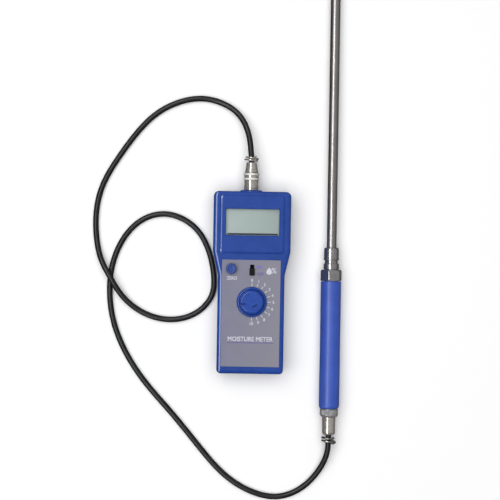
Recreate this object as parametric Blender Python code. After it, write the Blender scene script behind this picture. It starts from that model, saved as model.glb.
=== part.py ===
"""Grain moisture meter: a hand-held reading unit, its coaxial lead and a long stabbing probe.

The unit lies on its back with its display facing +Z and its socket towards +Y. The probe lies beside it
on +X, parallel to it, with its rod towards +Y. Lengths in this script are millimetres; store_object
turns them into metres. The origin is the middle of the unit's back face, which rests at Z = 0.
"""

import math

import bmesh
import bpy
import numpy as np
from mathutils import Matrix, Vector

MM = 0.001
GAP = 0.3  # clearance between neighbouring pieces
SMOOTH_ANGLE = math.radians(35)

# Case of the reading unit
CASE_END = 80.0  # half the length
HEAD_HALF = 34.0
GRIP_HALF = 29.25
HEAD_LOW = 27.0  # the head's sides run down to here, then taper
GRIP_HIGH = 6.5  # the grip's sides start here
HEAD_CORNER = 4.5
GRIP_CORNER = 3.5
TAPER_ROUND = 12.0
SPLIT_Z = 14.0  # the plane where the two shells meet
FACE_Z = 26.5
SHOULDER_RADIUS = 8.0  # the face's edge falls away in a broad arc
SHOULDER_TILT = math.radians(20)  # as far as this slope
EDGE_RADIUS = 2.0  # and turns down to the side in a tight one
WALL = 2.2
BACK_ROUND = 8.0  # how far and how high the back's long edges are rounded
BACK_END_ROUND = 3.0  # how far its two ends are rounded
CEILING_Z = FACE_Z - WALL
PLATFORM_HALF = 28.4
PLATFORM_LOW = 25.5
PLATFORM_HIGH = 76.6
PLATFORM_Z = 28.0
BOSS_Y = 81.3  # outer face of the pad round the socket
PAD_Z = (5.5, 22.5)  # how low and how high that pad reaches

# Front panel
PANEL_LOW = (-26.1, -74.0)
PANEL_HIGH = (25.9, 20.2)
PANEL_SEAT_Z = 25.9
LCD_CENTRE = (0.4, 52.9)
LCD_VIEW = (46.8, 23.1)
PANE_SIZE = (49.4, 25.8)
PANE_SEAT_Z = 26.5
PANE_THICK = 1.3
GLASS_SIZE = (52.0, 28.0)
GLASS_Z = (21.4, CEILING_Z - GAP)
HOLDER_SIZE = (57.2, 32.6)
ZEBRA_REACH = 11.5  # from the display's middle to the middle of each rubber strip
ZEBRA_SIZE = (46.0, 2.4)
DIAL_CENTRE = (0.8, -16.9)
DIAL_RADIUS = 13.25
DIAL_GRIP_RADIUS = 10.45
DIAL_TOP_Z = 34.6
DIAL_SHAFT_RADIUS = 3.0
ZERO_CENTRE = (-17.5, 12.0)
ZERO_RADIUS = 4.65
ZERO_TOP_Z = 32.0
ZERO_SHAFT_RADIUS = 2.0
KNOB_LOW_Z = FACE_Z + GAP
SWITCH_X = 0.7
SWITCH_SLOT = (3.7, 6.2, 15.8)  # width, low Y, high Y
SLIDER_CAP = (4.6, 6.4, 12.6)
SLIDER_STEM = (3.0, 6.8, 12.2)
SLIDER_TOP_Z = 28.4
SWITCH_TOP_Z = 23.9
CUT_FROM_Z = 23.0  # below the ceiling: openings in the face are cut from here upwards

# Inside the case
BOARD_LOW = (-25.5, -22.8)
BOARD_HIGH = (25.5, 68.5)
BOARD_Z = (14.3, 15.9)
ON_BOARD_Z = BOARD_Z[1] + GAP
BATTERY_HALF = 13.25
BATTERY_Y = (-75.8, -29.8)
BATTERY_Z = (2.6, 20.0)
COVER_HALF = 15.5
COVER_TOP_Y = -27.0
COVER_LIP_Z = 5.0
CASE_SCREWS = ((-19.6, -68.0), (19.6, -68.0), (-24.0, 74.0), (24.0, 74.0))
BOARD_SCREWS = ((-22.5, -19.4), (22.5, -19.4), (-22.5, 33.0), (22.5, 33.0))
POST_LOW_Z = 8.0
POST_HIGH_Z = CEILING_Z + 0.8
SCREW_HOLE = 1.35

# Coaxial connector
CONNECTOR_X = -1.3
CONNECTOR_Z = SPLIT_Z
THREAD_RADIUS = 4.5
JACK_RADIUS = 4.75
JACK_BORE = 4.05
STUD_REACH = 5.3
STUD_Y = 87.0
NUT_Y = (83.0, 96.7)
BACK_SHELL_Y = (97.0, 106.1)

# Probe, along its own axis: 0 at the hex nut's middle, + towards the tip
PROBE_X = 70.9
PROBE_Y = 7.4
ROD_RADIUS = 4.25
ROD_BORE = 3.25
ROD_END = 504.0
TIP_START = ROD_END + 8.0
TIP_CYLINDER = TIP_START + 6.0
TIP_END = 525.0
HEX_FLATS = 17.3
HEX_TURN = math.radians(15)
SLEEVE_RADIUS = 9.0
SLEEVE_RUN = (-118.0, -5.3)
TUBE_RADIUS = 6.0
BARREL_END = -141.0
HEX_CORNER = HEX_FLATS / 2 / math.cos(math.radians(30))
HEX_TOUCH = 3.5  # where the nut's lowest corner meets the table
HEX_DROP = HEX_CORNER * math.cos(HEX_TURN)
PROBE_TILT = math.asin((HEX_DROP - ROD_RADIUS) / (TIP_CYLINDER - HEX_TOUCH))
PROBE_Z = HEX_DROP * math.cos(PROBE_TILT) + HEX_TOUCH * math.sin(PROBE_TILT)

# Lead
CABLE_RADIUS = 2.5
CABLE_REST_Z = CABLE_RADIUS + 0.05
CABLE_POINTS = 76
CABLE_MOUTH = 2.9  # bore of the pieces that the cable goes into
CABLE_ROUTE = (
    (-1.3, 101.5, 14.0),
    (-1.3, 107.0, 14.0),
    (-1.8, 113.5, 13.8),
    (-4.4, 131.0, 10.6),
    (-14.4, 149.9, 5.6),
    (-28.1, 159.0, 3.2),
    (-46.0, 163.0, 2.6),
    (-67.4, 159.3, 2.6),
    (-88.6, 147.5, 2.6),
    (-107.0, 127.8, 2.6),
    (-122.2, 106.0, 2.6),
    (-134.7, 82.1, 2.6),
    (-139.4, 57.1, 2.6),
    (-138.3, 35.3, 3.0),
    (-133.5, 17.2, 6.2),
    (-125.6, 2.6, 8.1),
    (-115.2, -13.4, 6.0),
    (-100.5, -26.3, 3.0),
    (-82.1, -33.6, 2.6),
    (-61.9, -33.6, 2.6),
    (-44.6, -25.4, 2.6),
    (-34.5, -11.0, 2.6),
    (-33.5, 5.5, 2.6),
    (-37.6, 25.0, 2.6),
    (-48.4, 45.1, 2.6),
    (-64.6, 56.6, 2.6),
    (-82.6, 59.3, 2.6),
    (-102.0, 51.2, 2.6),
    (-116.3, 33.9, 2.6),
    (-124.3, 12.1, 2.6),
    (-126.1, -9.0, 2.6),
    (-123.0, -33.9, 2.6),
    (-111.2, -63.9, 2.6),
    (-93.4, -90.5, 2.6),
    (-68.8, -118.3, 2.6),
    (-41.3, -150.9, 2.6),
    (-19.0, -173.8, 2.6),
    (4.4, -187.2, 2.6),
    (26.7, -191.0, 2.6),
    (48.4, -182.5, 2.9),
    (63.2, -166.2, 5.2),
    (69.9, -150.3, 9.8),
)
CABLE_PROBE_RUN = (-147.5, -141.0, -133.5)  # its last points lie on the probe's axis

COLOURS = {
    "case_blue": ((0.030, 0.075, 0.36), 0.38, 0.0),
    "knob_blue": ((0.032, 0.085, 0.42), 0.35, 0.0),
    "handle_blue": ((0.055, 0.11, 0.50), 0.45, 0.0),
    "panel_grey": ((0.26, 0.26, 0.295), 0.5, 0.0),
    "display_green": ((0.38, 0.46, 0.43), 0.25, 0.0),
    "clear": ((0.85, 0.9, 0.88), 0.1, 0.0),
    "black_plastic": ((0.012, 0.012, 0.013), 0.5, 0.0),
    "cable_black": ((0.02, 0.02, 0.021), 0.42, 0.0),
    "nickel": ((0.62, 0.60, 0.56), 0.25, 1.0),
    "steel": ((0.55, 0.54, 0.53), 0.28, 1.0),
    "chrome": ((0.72, 0.72, 0.73), 0.12, 1.0),
    "aluminium": ((0.66, 0.65, 0.62), 0.35, 1.0),
    "brass": ((0.62, 0.46, 0.18), 0.3, 1.0),
    "board_green": ((0.02, 0.14, 0.05), 0.45, 0.0),
    "white_plastic": ((0.8, 0.8, 0.78), 0.45, 0.0),
    "battery_silver": ((0.35, 0.35, 0.36), 0.35, 0.3),
    "wire_red": ((0.45, 0.02, 0.02), 0.5, 0.0),
}


def material(slot):
    found = bpy.data.materials.get(slot)
    if found:
        return found
    colour, roughness, metallic = COLOURS[slot]
    made = bpy.data.materials.new(slot)
    made.use_nodes = True
    shader = made.node_tree.nodes["Principled BSDF"]
    shader.inputs["Base Color"].default_value = (*colour, 1.0)
    shader.inputs["Roughness"].default_value = roughness
    shader.inputs["Metallic"].default_value = metallic
    made.diffuse_color = (*colour, 1.0)
    return made


def link_object(name, data, slot, place=(0, 0, 0), parent=None):
    """Put the data in the scene, at a place in millimetres."""
    obj = bpy.data.objects.new(name, data)
    if slot:
        data.materials.append(material(slot))
    obj.location = Vector(place) * MM
    obj.parent = parent
    bpy.context.scene.collection.objects.link(obj)
    return obj


def store_object(name, bm, slot=None, place=(0, 0, 0), parent=None):
    """Turn a bmesh drawn in millimetres into an object in metres, faces outward and shaded smooth."""
    bmesh.ops.recalc_face_normals(bm, faces=bm.faces)
    bmesh.ops.scale(bm, vec=(MM, MM, MM), verts=bm.verts)
    mesh = bpy.data.meshes.new(name)
    bm.to_mesh(mesh)
    bm.free()
    mesh.shade_smooth()
    mesh.set_sharp_from_angle(angle=SMOOTH_ANGLE)
    return link_object(name, mesh, slot, place, parent)


# ---------------------------------------------------------------- shapes


def bridge(bm, lower, upper):
    """Faces between two rings of the same count; a ring of one vertex is a point on the axis."""
    count = max(len(lower), len(upper))
    for i in range(count):
        j = (i + 1) % count
        if len(lower) == 1:
            bm.faces.new((lower[0], upper[j], upper[i]))
        elif len(upper) == 1:
            bm.faces.new((lower[i], lower[j], upper[0]))
        else:
            bm.faces.new((lower[i], lower[j], upper[j], upper[i]))


def turned(profile, segments=24, along="Z"):
    """A turned solid from (radius, height) points. A profile that leaves the axis closes round a bore."""
    bm = bmesh.new()
    rings = []
    for radius, height in profile:
        if radius == 0:
            rings.append([bm.verts.new((0, 0, height))])
            continue
        angles = [2 * math.pi * i / segments for i in range(segments)]
        rings.append([bm.verts.new((radius * math.cos(a), radius * math.sin(a), height)) for a in angles])
    for lower, upper in zip(rings, rings[1:]):
        bridge(bm, lower, upper)
    if profile[0][0] > 0:
        bridge(bm, rings[-1], rings[0])
    if along == "Y":
        bm.transform(Matrix.Rotation(math.radians(-90), 4, "X"))
    return bm


def cylinder(radius, low, high, segments=24, along="Z"):
    return turned([(0, low), (radius, low), (radius, high), (0, high)], segments, along)


def tube(outer, inner, low, high, segments=24, along="Z"):
    return turned([(inner, low), (outer, low), (outer, high), (inner, high)], segments, along)


def block(low, high, bevel=0.0):
    bm = bmesh.new()
    bmesh.ops.create_cube(bm, size=1.0)
    size = Vector(high) - Vector(low)
    bmesh.ops.scale(bm, vec=size, verts=bm.verts)
    bmesh.ops.translate(bm, vec=(Vector(low) + Vector(high)) / 2, verts=bm.verts)
    if bevel:
        bmesh.ops.bevel(bm, geom=bm.edges[:], offset=bevel, segments=2, affect="EDGES", profile=0.5)
    return bm


def centred_block(centre, size, low_z, high_z, bevel=0.0):
    x, y = centre
    half_x, half_y = size[0] / 2, size[1] / 2
    return block((x - half_x, y - half_y, low_z), (x + half_x, y + half_y, high_z), bevel)


def loft(rings):
    """A closed solid through rings of equal count, with a flat cap on the first and the last."""
    bm = bmesh.new()
    drawn = [[bm.verts.new(point) for point in ring] for ring in rings]
    for lower, upper in zip(drawn, drawn[1:]):
        bridge(bm, lower, upper)
    bm.faces.new(drawn[0])
    bm.faces.new(drawn[-1])
    return bm


def moved(bm, place):
    bmesh.ops.translate(bm, vec=Vector(place), verts=bm.verts)
    return bm


def several(shapes):
    """One bmesh that holds all these shapes."""
    whole = bmesh.new()
    for shape in shapes:
        held = bpy.data.meshes.new("held")
        shape.to_mesh(held)
        shape.free()
        whole.from_mesh(held)
        bpy.data.meshes.remove(held)
    return whole


def combine(target, operation, bm):
    """Cut a shape from the target, join it on, or keep only what both hold."""
    number = len(target.modifiers) + 1
    tool = store_object(f"{target.name}_tool_{number}", bm)
    tool.location = target.location
    tool.parent = target.parent
    tool.hide_render = True
    tool.display_type = "WIRE"
    boolean = target.modifiers.new(f"{operation.lower()}_{number}", "BOOLEAN")
    boolean.operation = operation
    boolean.object = tool


def cut(target, *shapes):
    combine(target, "DIFFERENCE", several(shapes))


def join(target, *shapes):
    combine(target, "UNION", several(shapes))


# ---------------------------------------------------------------- case outline

# Corners in order round the case, each with its rounding. The edge after a corner is a side or an end.
CASE_CORNERS = (
    (-HEAD_HALF, CASE_END, HEAD_CORNER, "side"),
    (-HEAD_HALF, HEAD_LOW, TAPER_ROUND, "side"),
    (-GRIP_HALF, GRIP_HIGH, TAPER_ROUND, "side"),
    (-GRIP_HALF, -CASE_END, GRIP_CORNER, "end"),
    (GRIP_HALF, -CASE_END, GRIP_CORNER, "side"),
    (GRIP_HALF, GRIP_HIGH, TAPER_ROUND, "side"),
    (HEAD_HALF, HEAD_LOW, TAPER_ROUND, "side"),
    (HEAD_HALF, CASE_END, HEAD_CORNER, "end"),
)
CORNER_STEPS = 3
SMALLEST_ROUND = 0.6


def inset_corners(corners, side, end):
    """The corners after each edge has moved inwards by its own amount."""
    count = len(corners)
    edges = []
    for i, corner in enumerate(corners):
        start = Vector(corner[:2])
        along = (Vector(corners[(i + 1) % count][:2]) - start).normalized()
        inward = Vector((-along.y, along.x))
        edges.append((start + inward * (end if corner[3] == "end" else side), along))
    moved_corners = []
    for i in range(count):
        (p, d), (q, e) = edges[i - 1], edges[i]
        reach = (q - p).cross(e) / d.cross(e)
        moved_corners.append(p + d * reach)
    return moved_corners


def rounded(points, radii, steps=CORNER_STEPS):
    """The polygon with each corner replaced by an arc of steps + 1 points."""
    count = len(points)
    outline = []
    for i, (corner, radius) in enumerate(zip(points, radii)):
        back = (points[i - 1] - corner).normalized()
        ahead = (points[(i + 1) % count] - corner).normalized()
        half = back.angle(ahead) / 2
        centre = corner + (back + ahead).normalized() * radius / math.sin(half)
        first = corner + back * radius / math.tan(half) - centre
        last = corner + ahead * radius / math.tan(half) - centre
        start = math.atan2(first.y, first.x)
        sweep = math.remainder(math.atan2(last.y, last.x) - start, 2 * math.pi)
        for step in range(steps + 1):
            angle = start + sweep * step / steps
            outline.append(centre + radius * Vector((math.cos(angle), math.sin(angle))))
    return outline


def case_ring(z, side, end=None):
    """The case's outline at a height, moved inwards at its sides and ends."""
    end = side if end is None else end
    corners = inset_corners(CASE_CORNERS, side, end)
    radii = []
    for x, y, radius, _ in CASE_CORNERS:
        hollow = abs(x) == GRIP_HALF and y == GRIP_HIGH
        radii.append(radius + side if hollow else max(radius - min(side, end), SMALLEST_ROUND))
    return [(p.x, p.y, z) for p in rounded(corners, radii)]


def quarter_round(steps):
    """(how far in, how far down) along a quarter circle of radius 1, from its top to its side."""
    angles = [math.pi / 2 * step / steps for step in range(steps + 1)]
    return [(1 - math.sin(a), 1 - math.cos(a)) for a in angles]


def shoulder(steps):
    """(how far in, how far down) along the face's edge, steps for each of its two arcs."""
    tight_width = EDGE_RADIUS * (1 - math.sin(SHOULDER_TILT))
    broad_width = SHOULDER_RADIUS * math.sin(SHOULDER_TILT)
    broad_drop = SHOULDER_RADIUS * (1 - math.cos(SHOULDER_TILT))
    points = []
    for step in range(steps):
        angle = SHOULDER_TILT * step / steps
        across = tight_width + broad_width - SHOULDER_RADIUS * math.sin(angle)
        points.append((across, SHOULDER_RADIUS * (1 - math.cos(angle))))
    for step in range(steps + 1):
        angle = SHOULDER_TILT + (math.pi / 2 - SHOULDER_TILT) * step / steps
        down = broad_drop + EDGE_RADIUS * (math.cos(SHOULDER_TILT) - math.cos(angle))
        points.append((EDGE_RADIUS * (1 - math.sin(angle)), down))
    return points


# ---------------------------------------------------------------- reading unit


def connector_cylinder(radius, low, high, segments=24):
    return moved(cylinder(radius, low, high, segments, "Y"), (CONNECTOR_X, 0, CONNECTOR_Z))


def socket_pad(low_z, high_z):
    """The pad on the end wall round the socket, with sloping flanks."""
    base, top = 10.3, 8.8
    rings = []
    for y, half in ((CASE_END - 1.0, base), (CASE_END + 0.2, base - 0.3), (BOSS_Y, top)):
        x0, x1 = CONNECTOR_X - half, CONNECTOR_X + half
        rings.append([(x0, y, low_z), (x1, y, low_z), (x1, y, high_z), (x0, y, high_z)])
    return loft(rings)


def make_front_shell():
    rings = [case_ring(FACE_Z - down, across) for across, down in shoulder(3)]
    inner_round = 1.5
    rings.append(case_ring(SPLIT_Z + GAP / 2, 0))
    rings.append(case_ring(SPLIT_Z + GAP / 2, WALL))
    rings.append(case_ring(CEILING_Z - inner_round, WALL))
    rings.append(case_ring(CEILING_Z, WALL + inner_round))
    shell = store_object("front_shell", loft(rings), "case_blue")

    platform = []
    for z, inset in ((FACE_Z - 1.0, 0), (FACE_Z, 0), (PLATFORM_Z - 0.4, 0.4), (PLATFORM_Z, 2.0)):
        half = PLATFORM_HALF - inset
        corners = [
            Vector((-half, PLATFORM_HIGH - inset)),
            Vector((-half, PLATFORM_LOW + inset)),
            Vector((half, PLATFORM_LOW + inset)),
            Vector((half, PLATFORM_HIGH - inset)),
        ]
        platform.append([(p.x, p.y, z) for p in rounded(corners, [2.4] * 4, 3)])
    join(shell, loft(platform))
    join(shell, socket_pad(SPLIT_Z + GAP / 2, PAD_Z[1]))

    posts = [moved(cylinder(3.0, POST_LOW_Z, POST_HIGH_Z, 16), (x, y, 0)) for x, y in CASE_SCREWS]
    posts += [moved(cylinder(2.5, ON_BOARD_Z, POST_HIGH_Z, 16), (x, y, 0)) for x, y in BOARD_SCREWS]
    join(shell, *posts)
    case_screw_end, board_screw_end = 17.5, 21.5
    holes = [
        moved(cylinder(SCREW_HOLE, POST_LOW_Z - 1, case_screw_end, 12), (x, y, 0)) for x, y in CASE_SCREWS
    ]
    holes += [
        moved(cylinder(SCREW_HOLE, ON_BOARD_Z - 1, board_screw_end, 12), (x, y, 0)) for x, y in BOARD_SCREWS
    ]
    cut(shell, *holes)

    top = PLATFORM_Z + 1
    pocket = (PANE_SIZE[0] + 2 * GAP, PANE_SIZE[1] + 2 * GAP)
    cut(shell, centred_block(LCD_CENTRE, LCD_VIEW, CEILING_Z - 1, top))
    cut(shell, centred_block(LCD_CENTRE, pocket, CEILING_Z - 1, PANE_SEAT_Z))
    seat = block((*PANEL_LOW, PANEL_SEAT_Z), (*PANEL_HIGH, top))
    width, slot_low, slot_high = SWITCH_SLOT
    slot = block((SWITCH_X - width / 2, slot_low, CUT_FROM_Z), (SWITCH_X + width / 2, slot_high, top))
    cut(shell, seat)
    cut(
        shell,
        slot,
        moved(cylinder(DIAL_SHAFT_RADIUS + 0.6, CUT_FROM_Z, top), (*DIAL_CENTRE, 0)),
        moved(cylinder(ZERO_SHAFT_RADIUS + 0.6, CUT_FROM_Z, top, 16), (*ZERO_CENTRE, 0)),
        connector_cylinder(THREAD_RADIUS + GAP, CASE_END - 5, CASE_END + 4),
    )
    return shell


def back_rings():
    """Outer rings of the rear shell, from the back face up to the split."""
    rings = []
    for across, down in quarter_round(5):
        rings.append(case_ring(down * BACK_ROUND, across * BACK_ROUND, across * BACK_END_ROUND))
    rings.append(case_ring(SPLIT_Z - GAP / 2, 0))
    return rings


def back_hollow_rings():
    """Inner rings, from the split down to the floor."""
    inner_side, inner_end = 6.0, 1.5
    rings = [case_ring(SPLIT_Z - GAP / 2, WALL)]
    for across, down in reversed(quarter_round(4)):
        ring = case_ring(WALL + down * inner_side, WALL + across * inner_side, WALL + across * inner_end)
        rings.append(ring)
    return rings


def back_blank():
    return loft(back_rings() + back_hollow_rings())


def make_rear_shell():
    shell = store_object("rear_shell", back_blank(), "case_blue")
    join(shell, socket_pad(PAD_Z[0], SPLIT_Z - GAP / 2))
    floor_top = POST_LOW_Z - GAP
    join(shell, *[moved(cylinder(3.4, 1.2, floor_top, 16), (x, y, 0)) for x, y in CASE_SCREWS])
    half = COVER_HALF + GAP
    cut(shell, block((-half, -CASE_END - 1, -1), (half, COVER_TOP_Y + GAP, COVER_LIP_Z + GAP)))
    cut(shell, *[moved(cylinder(3.1, -1, 2.9, 16), (x, y, 0)) for x, y in CASE_SCREWS])
    cut(shell, *[moved(cylinder(1.6, 2, 9, 12), (x, y, 0)) for x, y in CASE_SCREWS])
    cut(shell, connector_cylinder(THREAD_RADIUS + GAP, CASE_END - 5, CASE_END + 4))
    return shell


def make_battery_cover():
    """The part of the back that slides off its end, set in a little so that it doesn't rub."""
    cover = store_object("battery_cover", back_blank(), "case_blue")
    recess = 0.25
    keep = block((-COVER_HALF, -CASE_END - 1, recess), (COVER_HALF, COVER_TOP_Y, COVER_LIP_Z))
    combine(cover, "INTERSECT", keep)
    ridges = [block((-7, y, -1), (7, y + 0.9, recess + 0.5)) for y in (-40.0, -37.8, -35.6)]
    cut(cover, *ridges)
    return cover


def make_panel():
    low = (PANEL_LOW[0] + GAP, PANEL_LOW[1] + GAP, PANEL_SEAT_Z + GAP)
    high = (PANEL_HIGH[0] - GAP, PANEL_HIGH[1] - GAP, FACE_Z)
    panel = store_object("panel_overlay", block(low, high), "panel_grey")
    width, slot_low, slot_high = SWITCH_SLOT
    top = FACE_Z + 1
    cut(
        panel,
        block((SWITCH_X - width / 2, slot_low, CUT_FROM_Z), (SWITCH_X + width / 2, slot_high, top)),
        moved(cylinder(DIAL_SHAFT_RADIUS + 0.6, CUT_FROM_Z, top), (*DIAL_CENTRE, 0)),
        moved(cylinder(ZERO_SHAFT_RADIUS + 0.6, CUT_FROM_Z, top, 16), (*ZERO_CENTRE, 0)),
    )


def make_display():
    pane_top = PANE_SEAT_Z - GAP
    pane = centred_block(LCD_CENTRE, PANE_SIZE, pane_top - PANE_THICK, pane_top)
    store_object("lcd_window", pane, "clear")
    store_object("lcd_glass", centred_block(LCD_CENTRE, GLASS_SIZE, *GLASS_Z), "display_green")
    holder = centred_block(LCD_CENTRE, HOLDER_SIZE, ON_BOARD_Z, GLASS_Z[1])
    frame = store_object("lcd_holder", holder, "black_plastic")
    inner = (GLASS_SIZE[0] + 2 * GAP, GLASS_SIZE[1] + 2 * GAP)
    cut(frame, centred_block(LCD_CENTRE, inner, ON_BOARD_Z - 1, GLASS_Z[1] + 1))
    for name, side in (("zebra_strip_upper", 1), ("zebra_strip_lower", -1)):
        centre = (LCD_CENTRE[0], LCD_CENTRE[1] + side * ZEBRA_REACH)
        strip = centred_block(centre, ZEBRA_SIZE, ON_BOARD_Z, GLASS_Z[0] - GAP)
        store_object(name, strip, "black_plastic")


def make_board():
    bm = block((*BOARD_LOW, BOARD_Z[0]), (*BOARD_HIGH, BOARD_Z[1]))
    board = store_object("circuit_board", bm, "board_green")
    under = BOARD_Z[0] - GAP
    cut(board, *[moved(cylinder(1.4, under, ON_BOARD_Z, 12), (x, y, 0)) for x, y in BOARD_SCREWS])
    store_object("display_chip", block((-6.9, 2, under - 3.8), (6.9, 54, under), 0.3), "black_plastic")
    store_object("sensing_chip", block((12, 8, under - 3.4), (18.4, 27, under), 0.3), "black_plastic")


def make_dial():
    shaft_bore = DIAL_SHAFT_RADIUS + GAP
    skirt_top = KNOB_LOW_Z + 2.4
    profile = [
        (0, DIAL_TOP_Z - 1.2),
        (shaft_bore, DIAL_TOP_Z - 1.2),
        (shaft_bore, KNOB_LOW_Z),
        (DIAL_RADIUS, KNOB_LOW_Z),
        (DIAL_RADIUS, skirt_top - 0.7),
        (DIAL_RADIUS - 0.7, skirt_top),
        (DIAL_GRIP_RADIUS + 0.4, skirt_top),
        (DIAL_GRIP_RADIUS, skirt_top + 0.4),
        (DIAL_GRIP_RADIUS - 0.2, DIAL_TOP_Z - 0.8),
        (DIAL_GRIP_RADIUS - 1.0, DIAL_TOP_Z),
        (0, DIAL_TOP_Z),
    ]
    place = (*DIAL_CENTRE, 0)
    store_object("dial_knob", turned(profile, 32), "knob_blue", place)
    pot_top = 22.0
    shaft = cylinder(DIAL_SHAFT_RADIUS, pot_top + GAP, DIAL_TOP_Z - 1.5, 20)
    store_object("dial_shaft", shaft, "aluminium", place)
    store_object("dial_potentiometer", cylinder(5.7, ON_BOARD_Z, pot_top, 24), "black_plastic", place)


def make_zero_adjuster():
    shaft_bore = ZERO_SHAFT_RADIUS + GAP
    profile = [
        (0, ZERO_TOP_Z - 1.2),
        (shaft_bore, ZERO_TOP_Z - 1.2),
        (shaft_bore, KNOB_LOW_Z),
        (ZERO_RADIUS, KNOB_LOW_Z),
        (ZERO_RADIUS - 0.15, ZERO_TOP_Z - 0.6),
        (ZERO_RADIUS - 0.75, ZERO_TOP_Z),
        (0, ZERO_TOP_Z),
    ]
    place = (*ZERO_CENTRE, 0)
    store_object("zero_knob", turned(profile, 24), "knob_blue", place)
    pot_top = 21.2
    shaft = cylinder(ZERO_SHAFT_RADIUS, pot_top + GAP, ZERO_TOP_Z - 1.5, 16)
    store_object("zero_shaft", shaft, "aluminium", place)
    body = centred_block(ZERO_CENTRE, (9.5, 9.5), ON_BOARD_Z, pot_top, 0.3)
    store_object("zero_potentiometer", body, "black_plastic")


def make_switch():
    body = block((SWITCH_X - 4.3, 3.8, ON_BOARD_Z), (SWITCH_X + 4.3, 18.0, SWITCH_TOP_Z))
    housing = store_object("power_switch", body, "nickel")
    floor_z = 19.5
    cut(housing, block((SWITCH_X - 1.9, 6.0, floor_z), (SWITCH_X + 1.9, 16.0, SWITCH_TOP_Z + 1)))
    cap_width, cap_low, cap_high = SLIDER_CAP
    stem_width, stem_low, stem_high = SLIDER_STEM
    middle = (cap_low + cap_high) / 2
    cap = block(
        (-cap_width / 2, cap_low - middle, KNOB_LOW_Z),
        (cap_width / 2, cap_high - middle, SLIDER_TOP_Z),
    )
    slider = store_object("power_slider", cap, "black_plastic", (SWITCH_X, middle, 0))
    stem = block(
        (-stem_width / 2, stem_low - middle, floor_z + 0.4),
        (stem_width / 2, stem_high - middle, KNOB_LOW_Z + 0.5),
    )
    join(slider, stem)
    grooves = [block((-3, y - 0.25, SLIDER_TOP_Z - 0.5), (3, y + 0.25, 30)) for y in (-2.0, -0.7, 0.7, 2.0)]
    cut(slider, *grooves)


def make_battery():
    low = (-BATTERY_HALF, BATTERY_Y[0], BATTERY_Z[0])
    high = (BATTERY_HALF, BATTERY_Y[1], BATTERY_Z[1])
    battery = store_object("battery", block(low, high, 0.8), "battery_silver")
    middle = (BATTERY_Z[0] + BATTERY_Z[1]) / 2
    terminals = []
    for x in (-6.35, 6.35):
        stud = cylinder(2.9, BATTERY_Y[1] - 0.5, BATTERY_Y[1] + 2.5, 16, "Y")
        terminals.append(moved(stud, (x, 0, middle)))
    join(battery, *terminals)
    snap_low = BATTERY_Y[1] + 2.5 + GAP
    cap = block((-13, snap_low, middle - 6), (13, snap_low + 3.4, middle + 6), 0.8)
    store_object("battery_snap", cap, "black_plastic")
    wires = (("battery_wire_red", "wire_red", 4.0), ("battery_wire_black", "cable_black", -4.0))
    for name, slot, x in wires:
        start = Vector((x, snap_low + 3.4 + GAP, middle - 1))
        below = start + Vector((0, 2.0, -2.0))
        route = [start, below, Vector((x * 3.5, -15, 8.0)), Vector((x * 4.2, -8, 13.2))]
        store_wire(name, smooth_curve(route, 12), 0.6, slot, 1)


def make_screws():
    head_low, head_high = 0.7, 2.6
    profile = [
        (0, head_low),
        (2.4, head_low),
        (2.75, head_low + 0.5),
        (2.75, head_high),
        (1.05, head_high),
        (1.05, 16.5),
        (0, 17.0),
    ]
    for number, (x, y) in enumerate(CASE_SCREWS, 1):
        store_object(f"case_screw_{number}", turned(profile, 12), "steel", (x, y, 0))
    under = BOARD_Z[0] - GAP
    profile = [(0, under - 1.6), (1.6, under - 1.6), (2.0, under - 1.2), (2.0, under), (1.05, under)]
    profile += [(1.05, 20.6), (0, 21.0)]
    for number, (x, y) in enumerate(BOARD_SCREWS, 1):
        store_object(f"board_screw_{number}", turned(profile, 8), "steel", (x, y, 0))


# ---------------------------------------------------------------- connector


def make_jack():
    place = (CONNECTOR_X, 0, CONNECTOR_Z)
    profile = [
        (2.7, 70.5),
        (THREAD_RADIUS, 70.5),
        (THREAD_RADIUS, BOSS_Y + GAP),
        (6.2, BOSS_Y + GAP),
        (6.2, 82.7),
        (JACK_RADIUS, 82.7),
        (JACK_RADIUS, 90.9),
        (JACK_RADIUS - 0.4, 91.3),
        (JACK_BORE, 91.3),
        (JACK_BORE, 84.5),
        (2.7, 84.5),
    ]
    jack = store_object("bnc_jack", turned(profile, 24, "Y"), "nickel", place)
    studs = []
    for side in (-1, 1):
        stud = cylinder(1.0, 4.4, STUD_REACH, 10)
        stud.transform(Matrix.Rotation(math.radians(90 * side), 4, "Y"))
        studs.append(moved(stud, (0, STUD_Y, 0)))
    join(jack, *studs)
    inner_wall = CASE_END - WALL
    washer = tube(6.4, THREAD_RADIUS + GAP, inner_wall - GAP - 0.6, inner_wall - GAP, 20, "Y")
    store_object("jack_washer", washer, "steel", place)
    low, high = inner_wall - 2 * GAP - 3.6, inner_wall - 2 * GAP - 0.6
    nut = store_object("jack_nut", hexagon(12.0, low, high), "nickel", place)
    cut(nut, cylinder(THREAD_RADIUS + GAP, low - 1, high + 1, 24, "Y"))
    store_object("jack_insulator", tube(2.4, 1.5, 73.0, 90.0, 16, "Y"), "white_plastic", place)
    profile = [
        (0, 69.4),
        (0.8, 69.4),
        (0.8, 72.6),
        (1.2, 72.6),
        (1.2, 89.5),
        (0.85, 89.5),
        (0.85, 80),
        (0, 80),
    ]
    store_object("jack_contact", turned(profile, 12, "Y"), "brass", place)


def hexagon(flats, low, high):
    """A six-sided bar along Y, with two corners on its X axis."""
    return cylinder(flats / 2 / math.cos(math.radians(30)), low, high, 6, "Y")


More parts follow.
